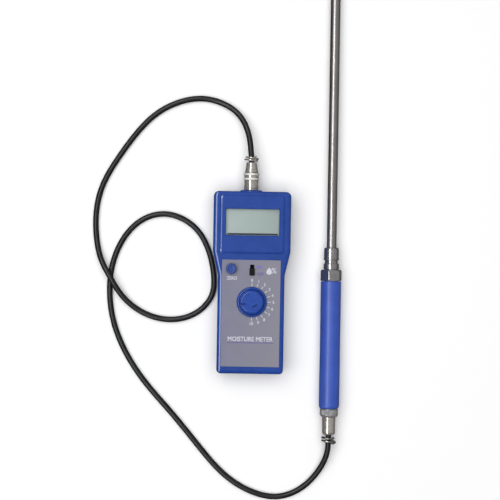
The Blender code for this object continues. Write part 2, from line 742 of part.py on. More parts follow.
def make_plug():
    place = (CONNECTOR_X, 0, CONNECTOR_Z)
    neck_end = 98.6
    body = [
        (2.8, 85.4),
        (3.7, 85.4),
        (3.7, 92.0),
        (5.15, 92.0),
        (5.15, 95.2),
        (4.1, 95.2),
        (4.1, neck_end),
        (2.8, neck_end),
    ]
    store_object("plug_body", turned(body, 20, "Y"), "nickel", place)
    store_object("plug_insulator", tube(2.45, 0.9, 91.6, neck_end, 16, "Y"), "white_plastic", place)
    pin = [(0, 85.8), (0.5, 86.6), (0.5, 99.6), (0, 99.6)]
    store_object("plug_pin", turned(pin, 10, "Y"), "brass", place)

    low, high = NUT_Y
    nut = [
        (5.6, low),
        (6.5, low),
        (6.5, low + 1.6),
        (6.1, low + 2.1),
        (6.1, 89.9),
        (7.0, 90.3),
        (7.0, 92.3),
        (6.3, 92.7),
        (6.3, 94.1),
        (7.0, 94.5),
        (7.0, high - 0.4),
        (6.6, high),
        (4.5, high),
        (4.5, 95.6),
        (5.6, 95.6),
    ]
    store_object("coupling_nut", turned(nut, 24, "Y"), "nickel", place)

    low, high = BACK_SHELL_Y
    shell = [
        (4.45, low),
        (5.2, low),
        (5.4, low + 0.4),
        (5.3, low + 2.4),
        (4.9, high - 0.8),
        (4.3, high),
        (CABLE_MOUTH, high),
        (CABLE_MOUTH, 99.9),
        (4.45, 99.9),
    ]
    store_object("plug_back_shell", turned(shell, 20, "Y"), "nickel", place)


# ---------------------------------------------------------------- curves


def smooth_curve(route, count):
    """Evenly spaced points on the natural cubic spline through the route's points."""
    points = np.array([tuple(p) for p in route], float)
    knots = np.concatenate([[0], np.cumsum(np.linalg.norm(np.diff(points, axis=0), axis=1))])
    spans = np.diff(knots)
    size = len(points)
    matrix = np.eye(size)
    right = np.zeros_like(points)
    for i in range(1, size - 1):
        matrix[i, i - 1 : i + 2] = spans[i - 1], 2 * (spans[i - 1] + spans[i]), spans[i]
        slopes = (points[i + 1] - points[i]) / spans[i] - (points[i] - points[i - 1]) / spans[i - 1]
        right[i] = 6 * slopes
    bends = np.linalg.solve(matrix, right)

    def at(distance):
        i = min(int(np.searchsorted(knots, distance, "right")) - 1, size - 2)
        ahead, behind = knots[i + 1] - distance, distance - knots[i]
        span = spans[i]
        curved = (bends[i] * ahead**3 + bends[i + 1] * behind**3) / (6 * span)
        straight = (points[i] / span - bends[i] * span / 6) * ahead
        return curved + straight + (points[i + 1] / span - bends[i + 1] * span / 6) * behind

    fine = np.array([at(d) for d in np.linspace(0, knots[-1], count * 20)])
    run = np.concatenate([[0], np.cumsum(np.linalg.norm(np.diff(fine, axis=0), axis=1))])
    even = np.linspace(0, run[-1], count)
    return [Vector([np.interp(d, run, fine[:, k]) for k in range(3)]) for d in even]


def store_wire(name, points, radius, slot, resolution, parent=None):
    """A round wire through these points, as a curve with filled ends."""
    curve = bpy.data.curves.new(name, "CURVE")
    curve.dimensions = "3D"
    curve.bevel_depth = radius * MM
    curve.bevel_resolution = resolution
    curve.use_fill_caps = True
    spline = curve.splines.new("POLY")
    spline.points.add(len(points) - 1)
    for knot, point in zip(spline.points, points):
        knot.co = (*(Vector(point) * MM), 1)
    return link_object(name, curve, slot, parent=parent)


def strain_relief(start, direction, radii, length, turns, slant, closing):
    """A loose wire spring round Y; slant tips its turns over, closing below 1 widens the first one."""
    steps = int(turns * 14)
    points = []
    for step in range(steps + 1):
        part = step / steps
        widening = math.sin(math.pi * part**closing) ** 0.6
        radius = radii[0] + (radii[1] - radii[0]) * widening
        angle = 2 * math.pi * turns * part
        tipped = abs(slant) - slant * widening * math.cos(angle)
        along = tipped + (length - 2 * abs(slant)) * part
        x, z = radius * math.cos(angle), radius * math.sin(angle)
        points.append(Vector((x, start + direction * along, z)))
    return points


def make_plug_spring():
    wire = 0.7
    start = BACK_SHELL_Y[1] + GAP + wire
    turns = strain_relief(start, 1, (3.7, 5.9), 4.6, 2.0, 0.3, 0.5)
    points = [point + Vector((CONNECTOR_X, 0, CONNECTOR_Z)) for point in turns]
    store_wire("plug_spring", points, wire, "nickel", 1)


def make_cable(probe):
    """The lead rests on the table and never dips into it."""
    ending = [probe @ Vector((0, along, 0)) for along in CABLE_PROBE_RUN]
    points = smooth_curve([*CABLE_ROUTE, *ending], CABLE_POINTS)
    for point in points:
        point.z = max(point.z, CABLE_REST_Z)
    store_wire("cable", points, CABLE_RADIUS, "cable_black", 2)


# ---------------------------------------------------------------- probe


def make_probe_frame():
    """The empty on the probe's axis: it lies on its hex nut and its tip, so it leans a little."""
    frame = bpy.data.objects.new("probe_axis", None)
    frame.location = Vector((PROBE_X, PROBE_Y, PROBE_Z)) * MM
    frame.rotation_euler = (-PROBE_TILT, 0, 0)
    bpy.context.scene.collection.objects.link(frame)
    place = Matrix.Translation(Vector((PROBE_X, PROBE_Y, PROBE_Z)))
    return frame, place @ Matrix.Rotation(-PROBE_TILT, 4, "X")


def make_handle(frame):
    low, high = SLEEVE_RUN
    bore = TUBE_RADIUS + GAP
    sleeve = [
        (bore, low),
        (7.6, low),
        (8.4, low + 0.5),
        (SLEEVE_RADIUS, low + 2.4),
        (SLEEVE_RADIUS, high - 0.8),
        (SLEEVE_RADIUS - 0.5, high),
        (bore, high),
    ]
    store_object("handle_sleeve", turned(sleeve, 24, "Y"), "handle_blue", parent=frame)
    store_object("handle_tube", tube(TUBE_RADIUS, 4.8, -124.0, 1.0, 24, "Y"), "steel", parent=frame)
    cap = [
        (bore, low - GAP),
        (8.0, low - GAP),
        (8.0, low - 5.6),
        (7.0, -125.2),
        (4.9, -125.2),
        (4.9, -124.3),
        (bore, -124.3),
    ]
    store_object("handle_end_cap", turned(cap, 24, "Y"), "aluminium", parent=frame)
    barrel = [
        (CABLE_MOUTH, -116.0),
        (4.5, -116.0),
        (4.5, -125.5),
        (5.8, -125.5),
        (5.7, -139.4),
        (5.1, BARREL_END),
        (CABLE_MOUTH, BARREL_END),
    ]
    store_object("cable_barrel", turned(barrel, 20, "Y"), "nickel", parent=frame)
    wire = 0.85
    points = strain_relief(BARREL_END - GAP - wire, -1, (4.1, 5.9), 8.6, 2.0, -1.7, 1.0)
    store_wire("handle_spring", points, wire, "steel", 1, frame)


def make_gland(frame):
    half = 5.0
    bore = TUBE_RADIUS + GAP
    bar = hexagon(HEX_FLATS, -half - 1, half + 1)
    bar.transform(Matrix.Rotation(math.radians(30) - HEX_TURN, 4, "Y"))
    nut = store_object("hex_nut", bar, "chrome", parent=frame)
    rounding = [
        (bore, -half),
        (8.9, -half),
        (HEX_CORNER + 0.3, -half + 1.2),
        (HEX_CORNER + 0.3, half - 1.6),
        (8.4, half),
        (bore, half),
    ]
    combine(nut, "INTERSECT", turned(rounding, 24, "Y"))
    collar = [
        (ROD_RADIUS + GAP, 1.3),
        (TUBE_RADIUS, 1.3),
        (TUBE_RADIUS, half + GAP),
        (6.75, half + GAP),
        (6.75, 9.9),
        (6.35, 10.3),
        (5.75, 10.5),
        (5.75, 13.4),
        (6.9, 13.7),
        (6.9, 14.8),
        (6.5, 15.2),
        (6.5, 23.6),
        (5.5, 24.6),
        (ROD_RADIUS + GAP, 24.6),
    ]
    store_object("rod_collar", turned(collar, 24, "Y"), "chrome", parent=frame)


def make_rod(frame):
    store_object("probe_rod", tube(ROD_RADIUS, ROD_BORE, -20.0, ROD_END, 24, "Y"), "steel", parent=frame)
    bush = turned([(1.3, -28.0), (4.4, -28.0), (4.4, -20.3), (1.3, -20.3)], 20, "Y")
    store_object("rod_bush", bush, "white_plastic", parent=frame)
    store_object("inner_conductor", cylinder(1.0, -34.0, TIP_START + 5.0, 12, "Y"), "brass", parent=frame)
    ring = [
        (1.3, ROD_END - 8.0),
        (ROD_BORE - GAP, ROD_END - 8.0),
        (ROD_BORE - GAP, ROD_END + GAP),
        (ROD_RADIUS, ROD_END + GAP),
        (ROD_RADIUS, TIP_START - GAP),
        (1.3, TIP_START - GAP),
    ]
    store_object("rod_insulator", turned(ring, 24, "Y"), "white_plastic", parent=frame)
    tip = [
        (0, TIP_START + 5.3),
        (1.3, TIP_START + 5.3),
        (1.3, TIP_START),
        (ROD_RADIUS, TIP_START),
        (ROD_RADIUS, TIP_CYLINDER),
        (1.2, TIP_END - 0.6),
        (0, TIP_END),
    ]
    store_object("probe_tip", turned(tip, 24, "Y"), "steel", parent=frame)


def clear_scene():
    for obj in list(bpy.data.objects):
        bpy.data.objects.remove(obj, do_unlink=True)


def main():
    clear_scene()
    make_front_shell()
    make_rear_shell()
    make_battery_cover()
    make_panel()
    make_display()
    make_board()
    make_dial()
    make_zero_adjuster()
    make_switch()
    make_battery()
    make_screws()
    make_jack()
    make_plug()
    make_plug_spring()
    frame, probe = make_probe_frame()
    make_handle(frame)
    make_gland(frame)
    make_rod(frame)
    make_cable(probe)


main()
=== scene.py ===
import math

import bmesh
import bpy
import numpy as np
from mathutils import Matrix, Vector


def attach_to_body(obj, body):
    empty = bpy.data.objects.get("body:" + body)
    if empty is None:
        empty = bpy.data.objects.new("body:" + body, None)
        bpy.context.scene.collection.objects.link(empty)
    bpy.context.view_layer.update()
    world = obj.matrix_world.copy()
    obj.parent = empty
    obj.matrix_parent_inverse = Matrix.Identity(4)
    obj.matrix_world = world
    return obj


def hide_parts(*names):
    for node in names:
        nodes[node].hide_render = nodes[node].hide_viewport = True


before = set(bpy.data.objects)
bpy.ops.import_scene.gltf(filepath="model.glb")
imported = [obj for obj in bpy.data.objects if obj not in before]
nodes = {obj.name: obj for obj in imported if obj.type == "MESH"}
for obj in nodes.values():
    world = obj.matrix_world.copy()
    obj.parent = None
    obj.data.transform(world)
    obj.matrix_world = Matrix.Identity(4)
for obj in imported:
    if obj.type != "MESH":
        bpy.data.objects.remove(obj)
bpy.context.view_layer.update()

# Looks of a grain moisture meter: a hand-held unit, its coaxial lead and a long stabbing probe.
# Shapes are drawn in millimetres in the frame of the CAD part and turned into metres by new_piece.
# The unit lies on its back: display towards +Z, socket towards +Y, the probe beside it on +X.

MM = 0.001
GAP = 0.3  # clearance between neighbouring pieces

# Camera: straight above, turned a little, at the distance where 442 mm fill the picture
CAMERA_CENTRE = (-1.5, 28.6)
CAMERA_TURN = math.radians(1.0)
CAMERA_LENS = 100.0
SENSOR_WIDTH = 36.0
VIEW_WIDTH = 442.0
VIEW_HEIGHT_Z = 15.0  # the height at which the view is that wide

# Case, as in the CAD part
CASE_END = 80.0
HEAD_HALF = 34.0
GRIP_HALF = 29.25
HEAD_LOW = 27.0
GRIP_HIGH = 6.5
TAPER_ROUND = 12.0
SPLIT_Z = 14.0
FACE_Z = 26.5
SHOULDER_RADIUS = 8.0
SHOULDER_TILT = math.radians(20)
EDGE_RADIUS = 2.0
WALL = 2.2
BACK_ROUND = 8.0
BACK_END_ROUND = 3.0
CEILING_Z = FACE_Z - WALL
PLATFORM_HALF = 28.4
PLATFORM_LOW = 25.5
PLATFORM_HIGH = 76.6
PLATFORM_Z = 28.0
BOSS_Y = 81.3
PAD_Z = (5.5, 22.5)
PANEL_LOW = (-26.1, -74.0)
PANEL_HIGH = (25.9, 20.2)
PANEL_SEAT_Z = 25.9
LCD_CENTRE = (0.4, 52.9)
LCD_VIEW = (46.8, 23.1)
PANE_SIZE = (49.4, 25.8)
GLASS_SIZE = (52.0, 28.0)
GLASS_Z = (21.4, 24.0)
DIAL_CENTRE = (0.8, -16.9)
DIAL_RADIUS = 13.25
DIAL_GRIP_RADIUS = 10.45
DIAL_TOP_Z = 34.6
ZERO_CENTRE = (-17.5, 12.0)
ZERO_RADIUS = 4.65
ZERO_TOP_Z = 32.0
KNOB_LOW_Z = FACE_Z + GAP
SWITCH_X = 0.7
SWITCH_SLOT = (3.7, 6.2, 15.8)  # width, lower end, upper end
SLIDER_CAP = (4.6, 6.4, 12.6)
SLIDER_TOP_Z = 28.4
COVER_HALF = 15.5
COVER_TOP_Y = -27.0
COVER_LIP_Z = 5.0
CASE_SCREWS = ((-19.6, -68.0), (19.6, -68.0), (-24.0, 74.0), (24.0, 74.0))

# Connector
CONNECTOR = (-1.3, 0.0, SPLIT_Z)
THREAD_RADIUS = 4.5
BACK_SHELL_END = 106.1

# Probe, along its own axis: 0 at the hex nut's middle, + towards the tip
PROBE_PLACE = (70.9, 7.4)
ROD_RADIUS = 4.25
ROD_END = 504.0
TIP_START = 512.0
TIP_CYLINDER = 518.0
TIP_END = 525.0
HEX_FLATS = 17.3
HEX_TURN = math.radians(15)
SLEEVE_RADIUS = 9.0
SLEEVE_BORE = 6.3
SLEEVE_RUN = (-118.0, -5.3)
BARREL_END = -141.0
HEX_CORNER = HEX_FLATS / 2 / math.cos(math.radians(30))
HEX_TOUCH = 3.5
HEX_DROP = HEX_CORNER * math.cos(HEX_TURN)
PROBE_TILT = math.asin((HEX_DROP - ROD_RADIUS) / (TIP_CYLINDER - HEX_TOUCH))
PROBE_Z = HEX_DROP * math.cos(PROBE_TILT) + HEX_TOUCH * math.sin(PROBE_TILT)
PROBE = Matrix.Translation((*PROBE_PLACE, PROBE_Z)) @ Matrix.Rotation(-PROBE_TILT, 4, "X")

# Lead, as routed in the CAD part
CABLE_RADIUS = 2.5
CABLE_REST_Z = CABLE_RADIUS + 0.05
CABLE_POINTS = 420
CABLE_MOUTH = 2.9
CABLE_ROUTE = (
    (-1.3, 101.5, 14.0), (-1.3, 107.0, 14.0), (-1.8, 113.5, 13.8), (-4.4, 131.0, 10.6),
    (-14.4, 149.9, 5.6), (-28.1, 159.0, 3.2), (-46.0, 163.0, 2.6), (-67.4, 159.3, 2.6),
    (-88.6, 147.5, 2.6), (-107.0, 127.8, 2.6), (-122.2, 106.0, 2.6), (-134.7, 82.1, 2.6),
    (-139.4, 57.1, 2.6), (-138.3, 35.3, 3.0), (-133.5, 17.2, 6.2), (-125.6, 2.6, 8.1),
    (-115.2, -13.4, 6.0), (-100.5, -26.3, 3.0), (-82.1, -33.6, 2.6), (-61.9, -33.6, 2.6),
    (-44.6, -25.4, 2.6), (-34.5, -11.0, 2.6), (-33.5, 5.5, 2.6), (-37.6, 25.0, 2.6),
    (-48.4, 45.1, 2.6), (-64.6, 56.6, 2.6), (-82.6, 59.3, 2.6), (-102.0, 51.2, 2.6),
    (-116.3, 33.9, 2.6), (-124.3, 12.1, 2.6), (-126.1, -9.0, 2.6), (-123.0, -33.9, 2.6),
    (-111.2, -63.9, 2.6), (-93.4, -90.5, 2.6), (-68.8, -118.3, 2.6), (-41.3, -150.9, 2.6),
    (-19.0, -173.8, 2.6), (4.4, -187.2, 2.6), (26.7, -191.0, 2.6), (48.4, -182.5, 2.9),
    (63.2, -166.2, 5.2), (69.9, -150.3, 9.8),
)
CABLE_PROBE_RUN = (-147.5, -141.0, -133.5)


def link(name, data):
    obj = bpy.data.objects.new(name, data)
    bpy.context.scene.collection.objects.link(obj)
    return obj


# ---- camera


def make_camera():
    data = bpy.data.cameras.new("camera")
    data.lens = CAMERA_LENS
    data.sensor_width = SENSOR_WIDTH
    data.clip_end = 100.0
    camera = link("camera", data)
    height = VIEW_HEIGHT_Z + VIEW_WIDTH * CAMERA_LENS / SENSOR_WIDTH
    camera.location = Vector((*CAMERA_CENTRE, height)) * MM
    camera.rotation_euler = (0, 0, CAMERA_TURN)
    bpy.context.scene.camera = camera


# ---- materials


def add_node(tree, kind, inputs=None, **settings):
    """A shader node with its settings, and each input given as a value or as a socket to link."""
    made = tree.nodes.new("ShaderNode" + kind)
    for key, value in settings.items():
        setattr(made, key, value)
    for socket, value in (inputs or {}).items():
        if isinstance(value, bpy.types.NodeSocket):
            tree.links.new(value, made.inputs[socket])
        else:
            made.inputs[socket].default_value = value
    return made


def noise(tree, size, stretch=(1, 1, 1), detail=3.0, shift=0.0):
    """Noise in cells about size millimetres wide, drawn out along an axis where stretch is small."""
    place = add_node(tree, "TexCoord")
    cells = [axis / (size * MM) for axis in stretch]
    inputs = {0: place.outputs["Object"], "Scale": cells, "Location": (shift,) * 3}
    mapping = add_node(tree, "Mapping", inputs)
    made = add_node(tree, "TexNoise", {"Vector": mapping.outputs[0], "Scale": 1.0, "Detail": detail})
    return made.outputs["Fac"]


def ranged(tree, value, low, high, to_low, to_high):
    inputs = {"Value": value, "From Min": low, "From Max": high, "To Min": to_low, "To Max": to_high}
    return add_node(tree, "MapRange", inputs).outputs[0]


def maths(tree, operation, a, b):
    return add_node(tree, "Math", {0: a, 1: b}, operation=operation).outputs[0]


def blended(tree, share, first, second):
    made = add_node(tree, "Mix", {"Factor": share}, data_type="RGBA")
    for socket, value in ((made.inputs[6], first), (made.inputs[7], second)):
        if isinstance(value, bpy.types.NodeSocket):
            tree.links.new(value, socket)
        else:
            socket.default_value = (*value, 1.0)
    return made.outputs[2]


def edge_share(tree, width):
    """How near a point is to an outward edge, from 0 on a flat face to 1."""
    soft = add_node(tree, "Bevel", {"Radius": width * MM}, samples=4)
    plain = add_node(tree, "NewGeometry")
    normals = {0: soft.outputs[0], 1: plain.outputs["Normal"]}
    dot = add_node(tree, "VectorMath", normals, operation="DOT_PRODUCT")
    return ranged(tree, dot.outputs["Value"], 0.995, 0.9, 0.0, 1.0)


def surface(
    name, colour, roughness, metallic=0.0, mottle=(0.08, 9), grain=(0.01, 0.5), stretch=(1, 1, 1),
    spread=0.08, worn=None, edge=None, specular=0.5, coat=(0.0, 0.03, 1.5),
):
    """A material with uneven colour and gloss, a fine relief, rubbed patches and rubbed edges; in some
    looks these lighter patches and edges also paint a sheen and glints.

    mottle is (strength, size), grain is (depth, size), worn is (strength, size, colour), edge is
    (strength, width) and coat is (weight, roughness, IOR); lengths are in millimetres.
    """
    made = bpy.data.materials.new(name)
    made.use_nodes = True
    tree = made.node_tree
    shader = tree.nodes["Principled BSDF"]
    sockets = ("Metallic", "Specular IOR Level", "Coat Weight", "Coat Roughness", "Coat IOR")
    for socket, value in zip(sockets, (metallic, specular, *coat)):
        shader.inputs[socket].default_value = value

    broad = noise(tree, mottle[1], detail=4.0)
    fine = noise(tree, grain[1], stretch)
    dark = [c * (1 - mottle[0]) for c in colour]
    light = [min(c * (1 + mottle[0]), 1.0) for c in colour]
    tone = blended(tree, ranged(tree, broad, 0.35, 0.65, 0.0, 1.0), dark, light)
    uneven = maths(tree, "ADD", broad, fine)
    gloss = ranged(tree, uneven, 0.7, 1.3, roughness - spread, roughness + spread)
    if worn:
        share, size, wear_and_sheen_colour = worn
        patches = ranged(tree, noise(tree, size, detail=7.0, shift=3.7), 0.56, 0.72, 0.0, share)
        if edge:
            share, width = edge
            broken = ranged(tree, fine, 0.4, 0.6, 0.3, 1.0)
            rubbed = maths(tree, "MULTIPLY", edge_share(tree, width), broken)
            patches = maths(tree, "MAXIMUM", patches, maths(tree, "MULTIPLY", rubbed, share))
        tone = blended(tree, patches, tone, wear_and_sheen_colour)
        gloss = maths(tree, "ADD", gloss, maths(tree, "MULTIPLY", patches, 0.12))
    bump = add_node(tree, "Bump", {"Height": fine, "Distance": grain[0] * MM, "Strength": 1.0})
    tree.links.new(tone, shader.inputs["Base Color"])
    tree.links.new(gloss, shader.inputs["Roughness"])
    tree.links.new(bump.outputs[0], shader.inputs["Normal"])
    return made


def along_y(length):
    """Stretch for fine lines that run along Y."""
    return (1, length, 1)


def tinted(made, mask, colour):
    """The look with another colour wherever mask(tree) is 1."""
    tree = made.node_tree
    base = tree.nodes["Principled BSDF"].inputs["Base Color"]
    tree.links.new(blended(tree, mask(tree), base.links[0].from_socket, colour), base)
    return made


def along_axis(axis, start, end, most=1.0):
    """A mask that grows between two places, in millimetres along an axis."""

    def mask(tree):
        place = add_node(tree, "TexCoord")
        axes = add_node(tree, "SeparateXYZ", {0: place.outputs["Object"]})
        return ranged(tree, axes.outputs[axis], start * MM, end * MM, 0.0, most)

    return mask


def board_runs(tree):
    """A mask of the copper runs of a circuit board."""
    place = add_node(tree, "TexCoord")
    mapping = add_node(tree, "Mapping", {0: place.outputs["Object"], "Scale": (400.0,) * 3})
    bricks = add_node(tree, "TexBrick", {0: mapping.outputs[0], "Mortar Size": 0.06, "Scale": 1.0})
    return bricks.outputs["Fac"]


def pane_look():
    """Thin clear window: almost all of what is behind it shows through."""
    made = surface("clear_pane", (0.03, 0.032, 0.032), 0.06, mottle=(0.01, 9),
                   grain=(0.0005, 4), spread=0.03)
    made.node_tree.nodes["Principled BSDF"].inputs["Alpha"].default_value = 0.14
    return made


def ink(name, colour, worn_colour, mottle=0.08, worn=0.3):
    """A thin print, rubbed through in places."""
    worn = (worn, 1.2, worn_colour)
    return surface(name, colour, 0.5, mottle=(mottle, 1.5), grain=(0.004, 0.5), worn=worn)


ROUND_Y = (0.05, 1, 0.05)  # stretch for fine rings round Y
DULL = 0.15  # the specular level of a plastic that is matt, or that gets its gloss from its coat
LOOKS = {
    "case": surface(
        "case_plastic", (0.006, 0.046, 0.275), 0.30, mottle=(0.07, 14), grain=(0.012, 0.45),
        spread=0.06, worn=(0.06, 3.0, (0.035, 0.085, 0.34)), edge=(0.2, 0.4),
        specular=DULL, coat=(1.0, 0.05, 1.65),
    ),
    "knob": surface(
        "knob_plastic", (0.005, 0.049, 0.312), 0.32, mottle=(0.06, 5), grain=(0.01, 0.35),
        worn=(0.12, 2.0, (0.05, 0.12, 0.43)), edge=(0.3, 0.3), specular=DULL,
        coat=(1.0, 0.12, 1.65),
    ),
    # The zero knob's colour is duller and patchier than the dial's: its greyer base and lighter rubbed
    # patches are partly wear and partly a painted sheen
    "sheen_painted_knob": surface(
        "knob_plastic_painted_sheen", (0.022, 0.058, 0.26), 0.36, mottle=(0.22, 2), grain=(0.015, 0.3),
        worn=(0.35, 1.2, (0.09, 0.13, 0.34)), edge=(0.4, 0.3), specular=DULL,
        coat=(0.8, 0.2, 1.5),
    ),
    # Dark navy for the floors of the dial's notch and slot: painted shade in these deep recesses
    "recess_painted_shade": surface(
        "recess_painted_shade", (0.009, 0.025, 0.13), 0.5, mottle=(0.1, 2), grain=(0.01, 0.3), specular=DULL
    ),
    "handle": surface(
        "handle_sleeve_plastic", (0.034, 0.083, 0.41), 0.38, mottle=(0.06, 18), grain=(0.02, 0.8),
        stretch=along_y(0.25), spread=0.06, worn=(0.10, 4.0, (0.12, 0.19, 0.55)),
        coat=(0.28, 0.34, 1.5),
    ),
    "panel": tinted(
        surface(
            "panel_film", (0.155, 0.160, 0.228), 0.42, mottle=(0.05, 16), grain=(0.006, 0.3),
            worn=(0.10, 2.5, (0.24, 0.24, 0.28)), edge=(0.6, 0.4),
        ),
        along_axis("X", -26, 26), (0.196, 0.192, 0.238),
    ),
    "ink_white": ink("ink_white", (0.55, 0.55, 0.64), (0.45, 0.45, 0.50), mottle=0.05, worn=0.25),
    "ink_violet": ink("ink_violet", (0.14, 0.12, 0.44), (0.22, 0.21, 0.38)),
    "ink_faint": ink("ink_faint", (0.10, 0.09, 0.26), (0.18, 0.18, 0.28)),
    # Blank liquid crystal glass, a little bluer and darker towards the right
    "display": tinted(
        surface("display_glass", (0.64, 0.77, 0.75), 0.2, mottle=(0.03, 20), grain=(0.001, 0.5),
                spread=0.03),
        along_axis("X", -24, 24, 0.7), (0.47, 0.57, 0.54),
    ),
    "display_dark_strip": surface("display_dark_strip", (0.05, 0.06, 0.085), 0.35, grain=(0.002, 0.5)),
    "pane": pane_look(),
    # Its lighter rubbed edges are partly wear and partly painted glints along the slider's ridges
    "black": surface(
        "black_plastic_moulded", (0.005, 0.005, 0.0055), 0.4, mottle=(0.15, 4), grain=(0.012, 0.4),
        worn=(0.15, 2.0, (0.05, 0.05, 0.053)), edge=(0.8, 0.18), specular=DULL,
    ),
    "cable": surface(
        "cable_jacket", (0.009, 0.009, 0.010), 0.34, mottle=(0.2, 12), grain=(0.02, 0.9),
        spread=0.07, worn=(0.25, 4.0, (0.025, 0.025, 0.026)), coat=(0.15, 0.3, 1.5),
    ),
    "nickel": surface(
        "nickel_plate", (0.78, 0.75, 0.70), 0.20, 0.82, mottle=(0.08, 3), grain=(0.004, 0.25),
        stretch=ROUND_Y, spread=0.06, worn=(0.3, 1.5, (0.56, 0.52, 0.46)),
    ),
    # The coupling nut's two knurled bands are rougher than the plate round them, and their brighter
    # colour is a painted highlight
    "nut_band_painted_highlight": surface(
        "knurled_band_painted_highlight", (0.90, 0.87, 0.82), 0.42, 0.6, mottle=(0.08, 1.5), grain=(0.03, 0.35),
        worn=(0.2, 1.0, (0.62, 0.59, 0.54)),
    ),
    "chrome": surface(
        "chrome_plate", (0.66, 0.65, 0.67), 0.22, 0.95, mottle=(0.08, 5), grain=(0.002, 0.4),
        stretch=ROUND_Y, spread=0.04, worn=(0.25, 2.0, (0.50, 0.48, 0.49)),
    ),
    "rod": surface(
        "rod_steel", (0.62, 0.60, 0.59), 0.36, 1.0, mottle=(0.05, 20), grain=(0.003, 0.3),
        stretch=along_y(0.01), spread=0.05, worn=(0.15, 6.0, (0.57, 0.55, 0.545)),
    ),
    "steel": surface(
        "plain_steel", (0.66, 0.645, 0.62), 0.26, 1.0, mottle=(0.08, 2), grain=(0.004, 0.25),
        worn=(0.3, 1.5, (0.48, 0.455, 0.43)),
    ),
    "aluminium": surface(
        "satin_aluminium", (0.34, 0.34, 0.36), 0.36, 0.5, mottle=(0.06, 3), grain=(0.006, 0.2),
        stretch=ROUND_Y, spread=0.07, worn=(0.3, 1.5, (0.27, 0.27, 0.28)),
    ),
    "brass": surface(
        "brass_plain", (0.60, 0.43, 0.16), 0.28, 1.0, grain=(0.003, 0.5),
        worn=(0.2, 3, (0.36, 0.26, 0.12)),
    ),
    "white": surface(
        "white_insulator", (0.74, 0.74, 0.70), 0.4, mottle=(0.04, 9), grain=(0.006, 0.5),
        worn=(0.1, 3, (0.5, 0.49, 0.44)),
    ),
    "board": tinted(
        surface("board_lacquer", (0.012, 0.11, 0.035), 0.35, mottle=(0.1, 9), grain=(0.004, 0.3)),
        board_runs, (0.03, 0.22, 0.07),
    ),
    # Printed wrap of a block battery: dark body with a bright band at the terminal end
    "battery": tinted(
        surface(
            "battery_wrap", (0.02, 0.022, 0.03), 0.3, mottle=(0.1, 9), grain=(0.002, 0.5),
            worn=(0.2, 3, (0.5, 0.5, 0.5)),
        ),
        along_axis("Y", -46.2, -46.0), (0.55, 0.36, 0.08),
    ),
    "red_wire": surface("red_wire_jacket", (0.40, 0.015, 0.012), 0.4, grain=(0.006, 0.4)),
}


# ---- shapes


def bridge(bm, lower, upper):
    """Faces between two rings of the same count; a ring of one vertex is a point on the axis."""
    count = max(len(lower), len(upper))
    for i in range(count):
        j = (i + 1) % count
        if len(lower) == 1:
            bm.faces.new((lower[0], upper[j], upper[i]))
        elif len(upper) == 1:
            bm.faces.new((lower[i], lower[j], upper[0]))
        else:
            bm.faces.new((lower[i], lower[j], upper[j], upper[i]))


def softened(profile, radius=0.3, steps=3):
    """The profile with each corner rounded, as far as the lengths on either side let it."""
    points = [Vector(p) for p in profile]
    closed = profile[0][0] > 0
    soft = []
    for i, corner in enumerate(points):
        if not closed and i in (0, len(points) - 1):
            soft.append(corner)
            continue
        back = points[i - 1] - corner
        ahead = points[(i + 1) % len(points)] - corner
        reach = min(radius, 0.45 * back.length, 0.45 * ahead.length)
        start, end = corner + back.normalized() * reach, corner + ahead.normalized() * reach
        for step in range(steps + 1):
            t = step / steps
            soft.append(start * (1 - t) ** 2 + corner * 2 * t * (1 - t) + end * t**2)
    return [tuple(p) for p in soft]


def turned(profile, segments=64, along="Z", ripple=None):
    """A turned solid from (radius, height) points; ripple(radius, height, angle) varies the radius."""
    bm = bmesh.new()
    rings = []
    for radius, height in profile:
        if radius == 0:
            rings.append([bm.verts.new((0, 0, height))])
            continue
        ring = []
        for i in range(segments):
            angle = 2 * math.pi * i / segments
            reach = ripple(radius, height, angle) if ripple else radius
            ring.append(bm.verts.new((reach * math.cos(angle), reach * math.sin(angle), height)))
        rings.append(ring)
    for lower, upper in zip(rings, rings[1:]):
        bridge(bm, lower, upper)
    if profile[0][0] > 0:
        bridge(bm, rings[-1], rings[0])
    if along == "Y":
        bm.transform(Matrix.Rotation(math.radians(-90), 4, "X"))
    return bm


def cylinder(radius, low, high, segments=48, along="Z"):
    return turned([(0, low), (radius, low), (radius, high), (0, high)], segments, along)


def block(low, high, bevel=0.0):
    bm = bmesh.new()
    bmesh.ops.create_cube(bm, size=1.0)
    bmesh.ops.scale(bm, vec=Vector(high) - Vector(low), verts=bm.verts)
    bmesh.ops.translate(bm, vec=(Vector(low) + Vector(high)) / 2, verts=bm.verts)
    if bevel:
        bmesh.ops.bevel(bm, geom=bm.edges[:], offset=bevel, segments=3, affect="EDGES", profile=0.5)
    return bm


def loft(rings):
    """A closed solid through rings of equal count, with a flat cap on the first and the last."""
    bm = bmesh.new()
    drawn = [[bm.verts.new(point) for point in ring] for ring in rings]
    for lower, upper in zip(drawn, drawn[1:]):
        bridge(bm, lower, upper)
    bm.faces.new(drawn[0])
    bm.faces.new(drawn[-1])
    return bm


def moved(bm, place):
    bmesh.ops.translate(bm, vec=Vector(place), verts=bm.verts)
    return bm


def several(shapes):
    """One bmesh that holds all these shapes."""
    whole = bmesh.new()
    for shape in shapes:
        held = bpy.data.meshes.new("held")
        shape.to_mesh(held)
        shape.free()
        whole.from_mesh(held)
        bpy.data.meshes.remove(held)
    return whole


def held_object(bm):
    bmesh.ops.recalc_face_normals(bm, faces=bm.faces)
    mesh = bpy.data.meshes.new("held")
    bm.to_mesh(mesh)
    bm.free()
    return link("held", mesh)


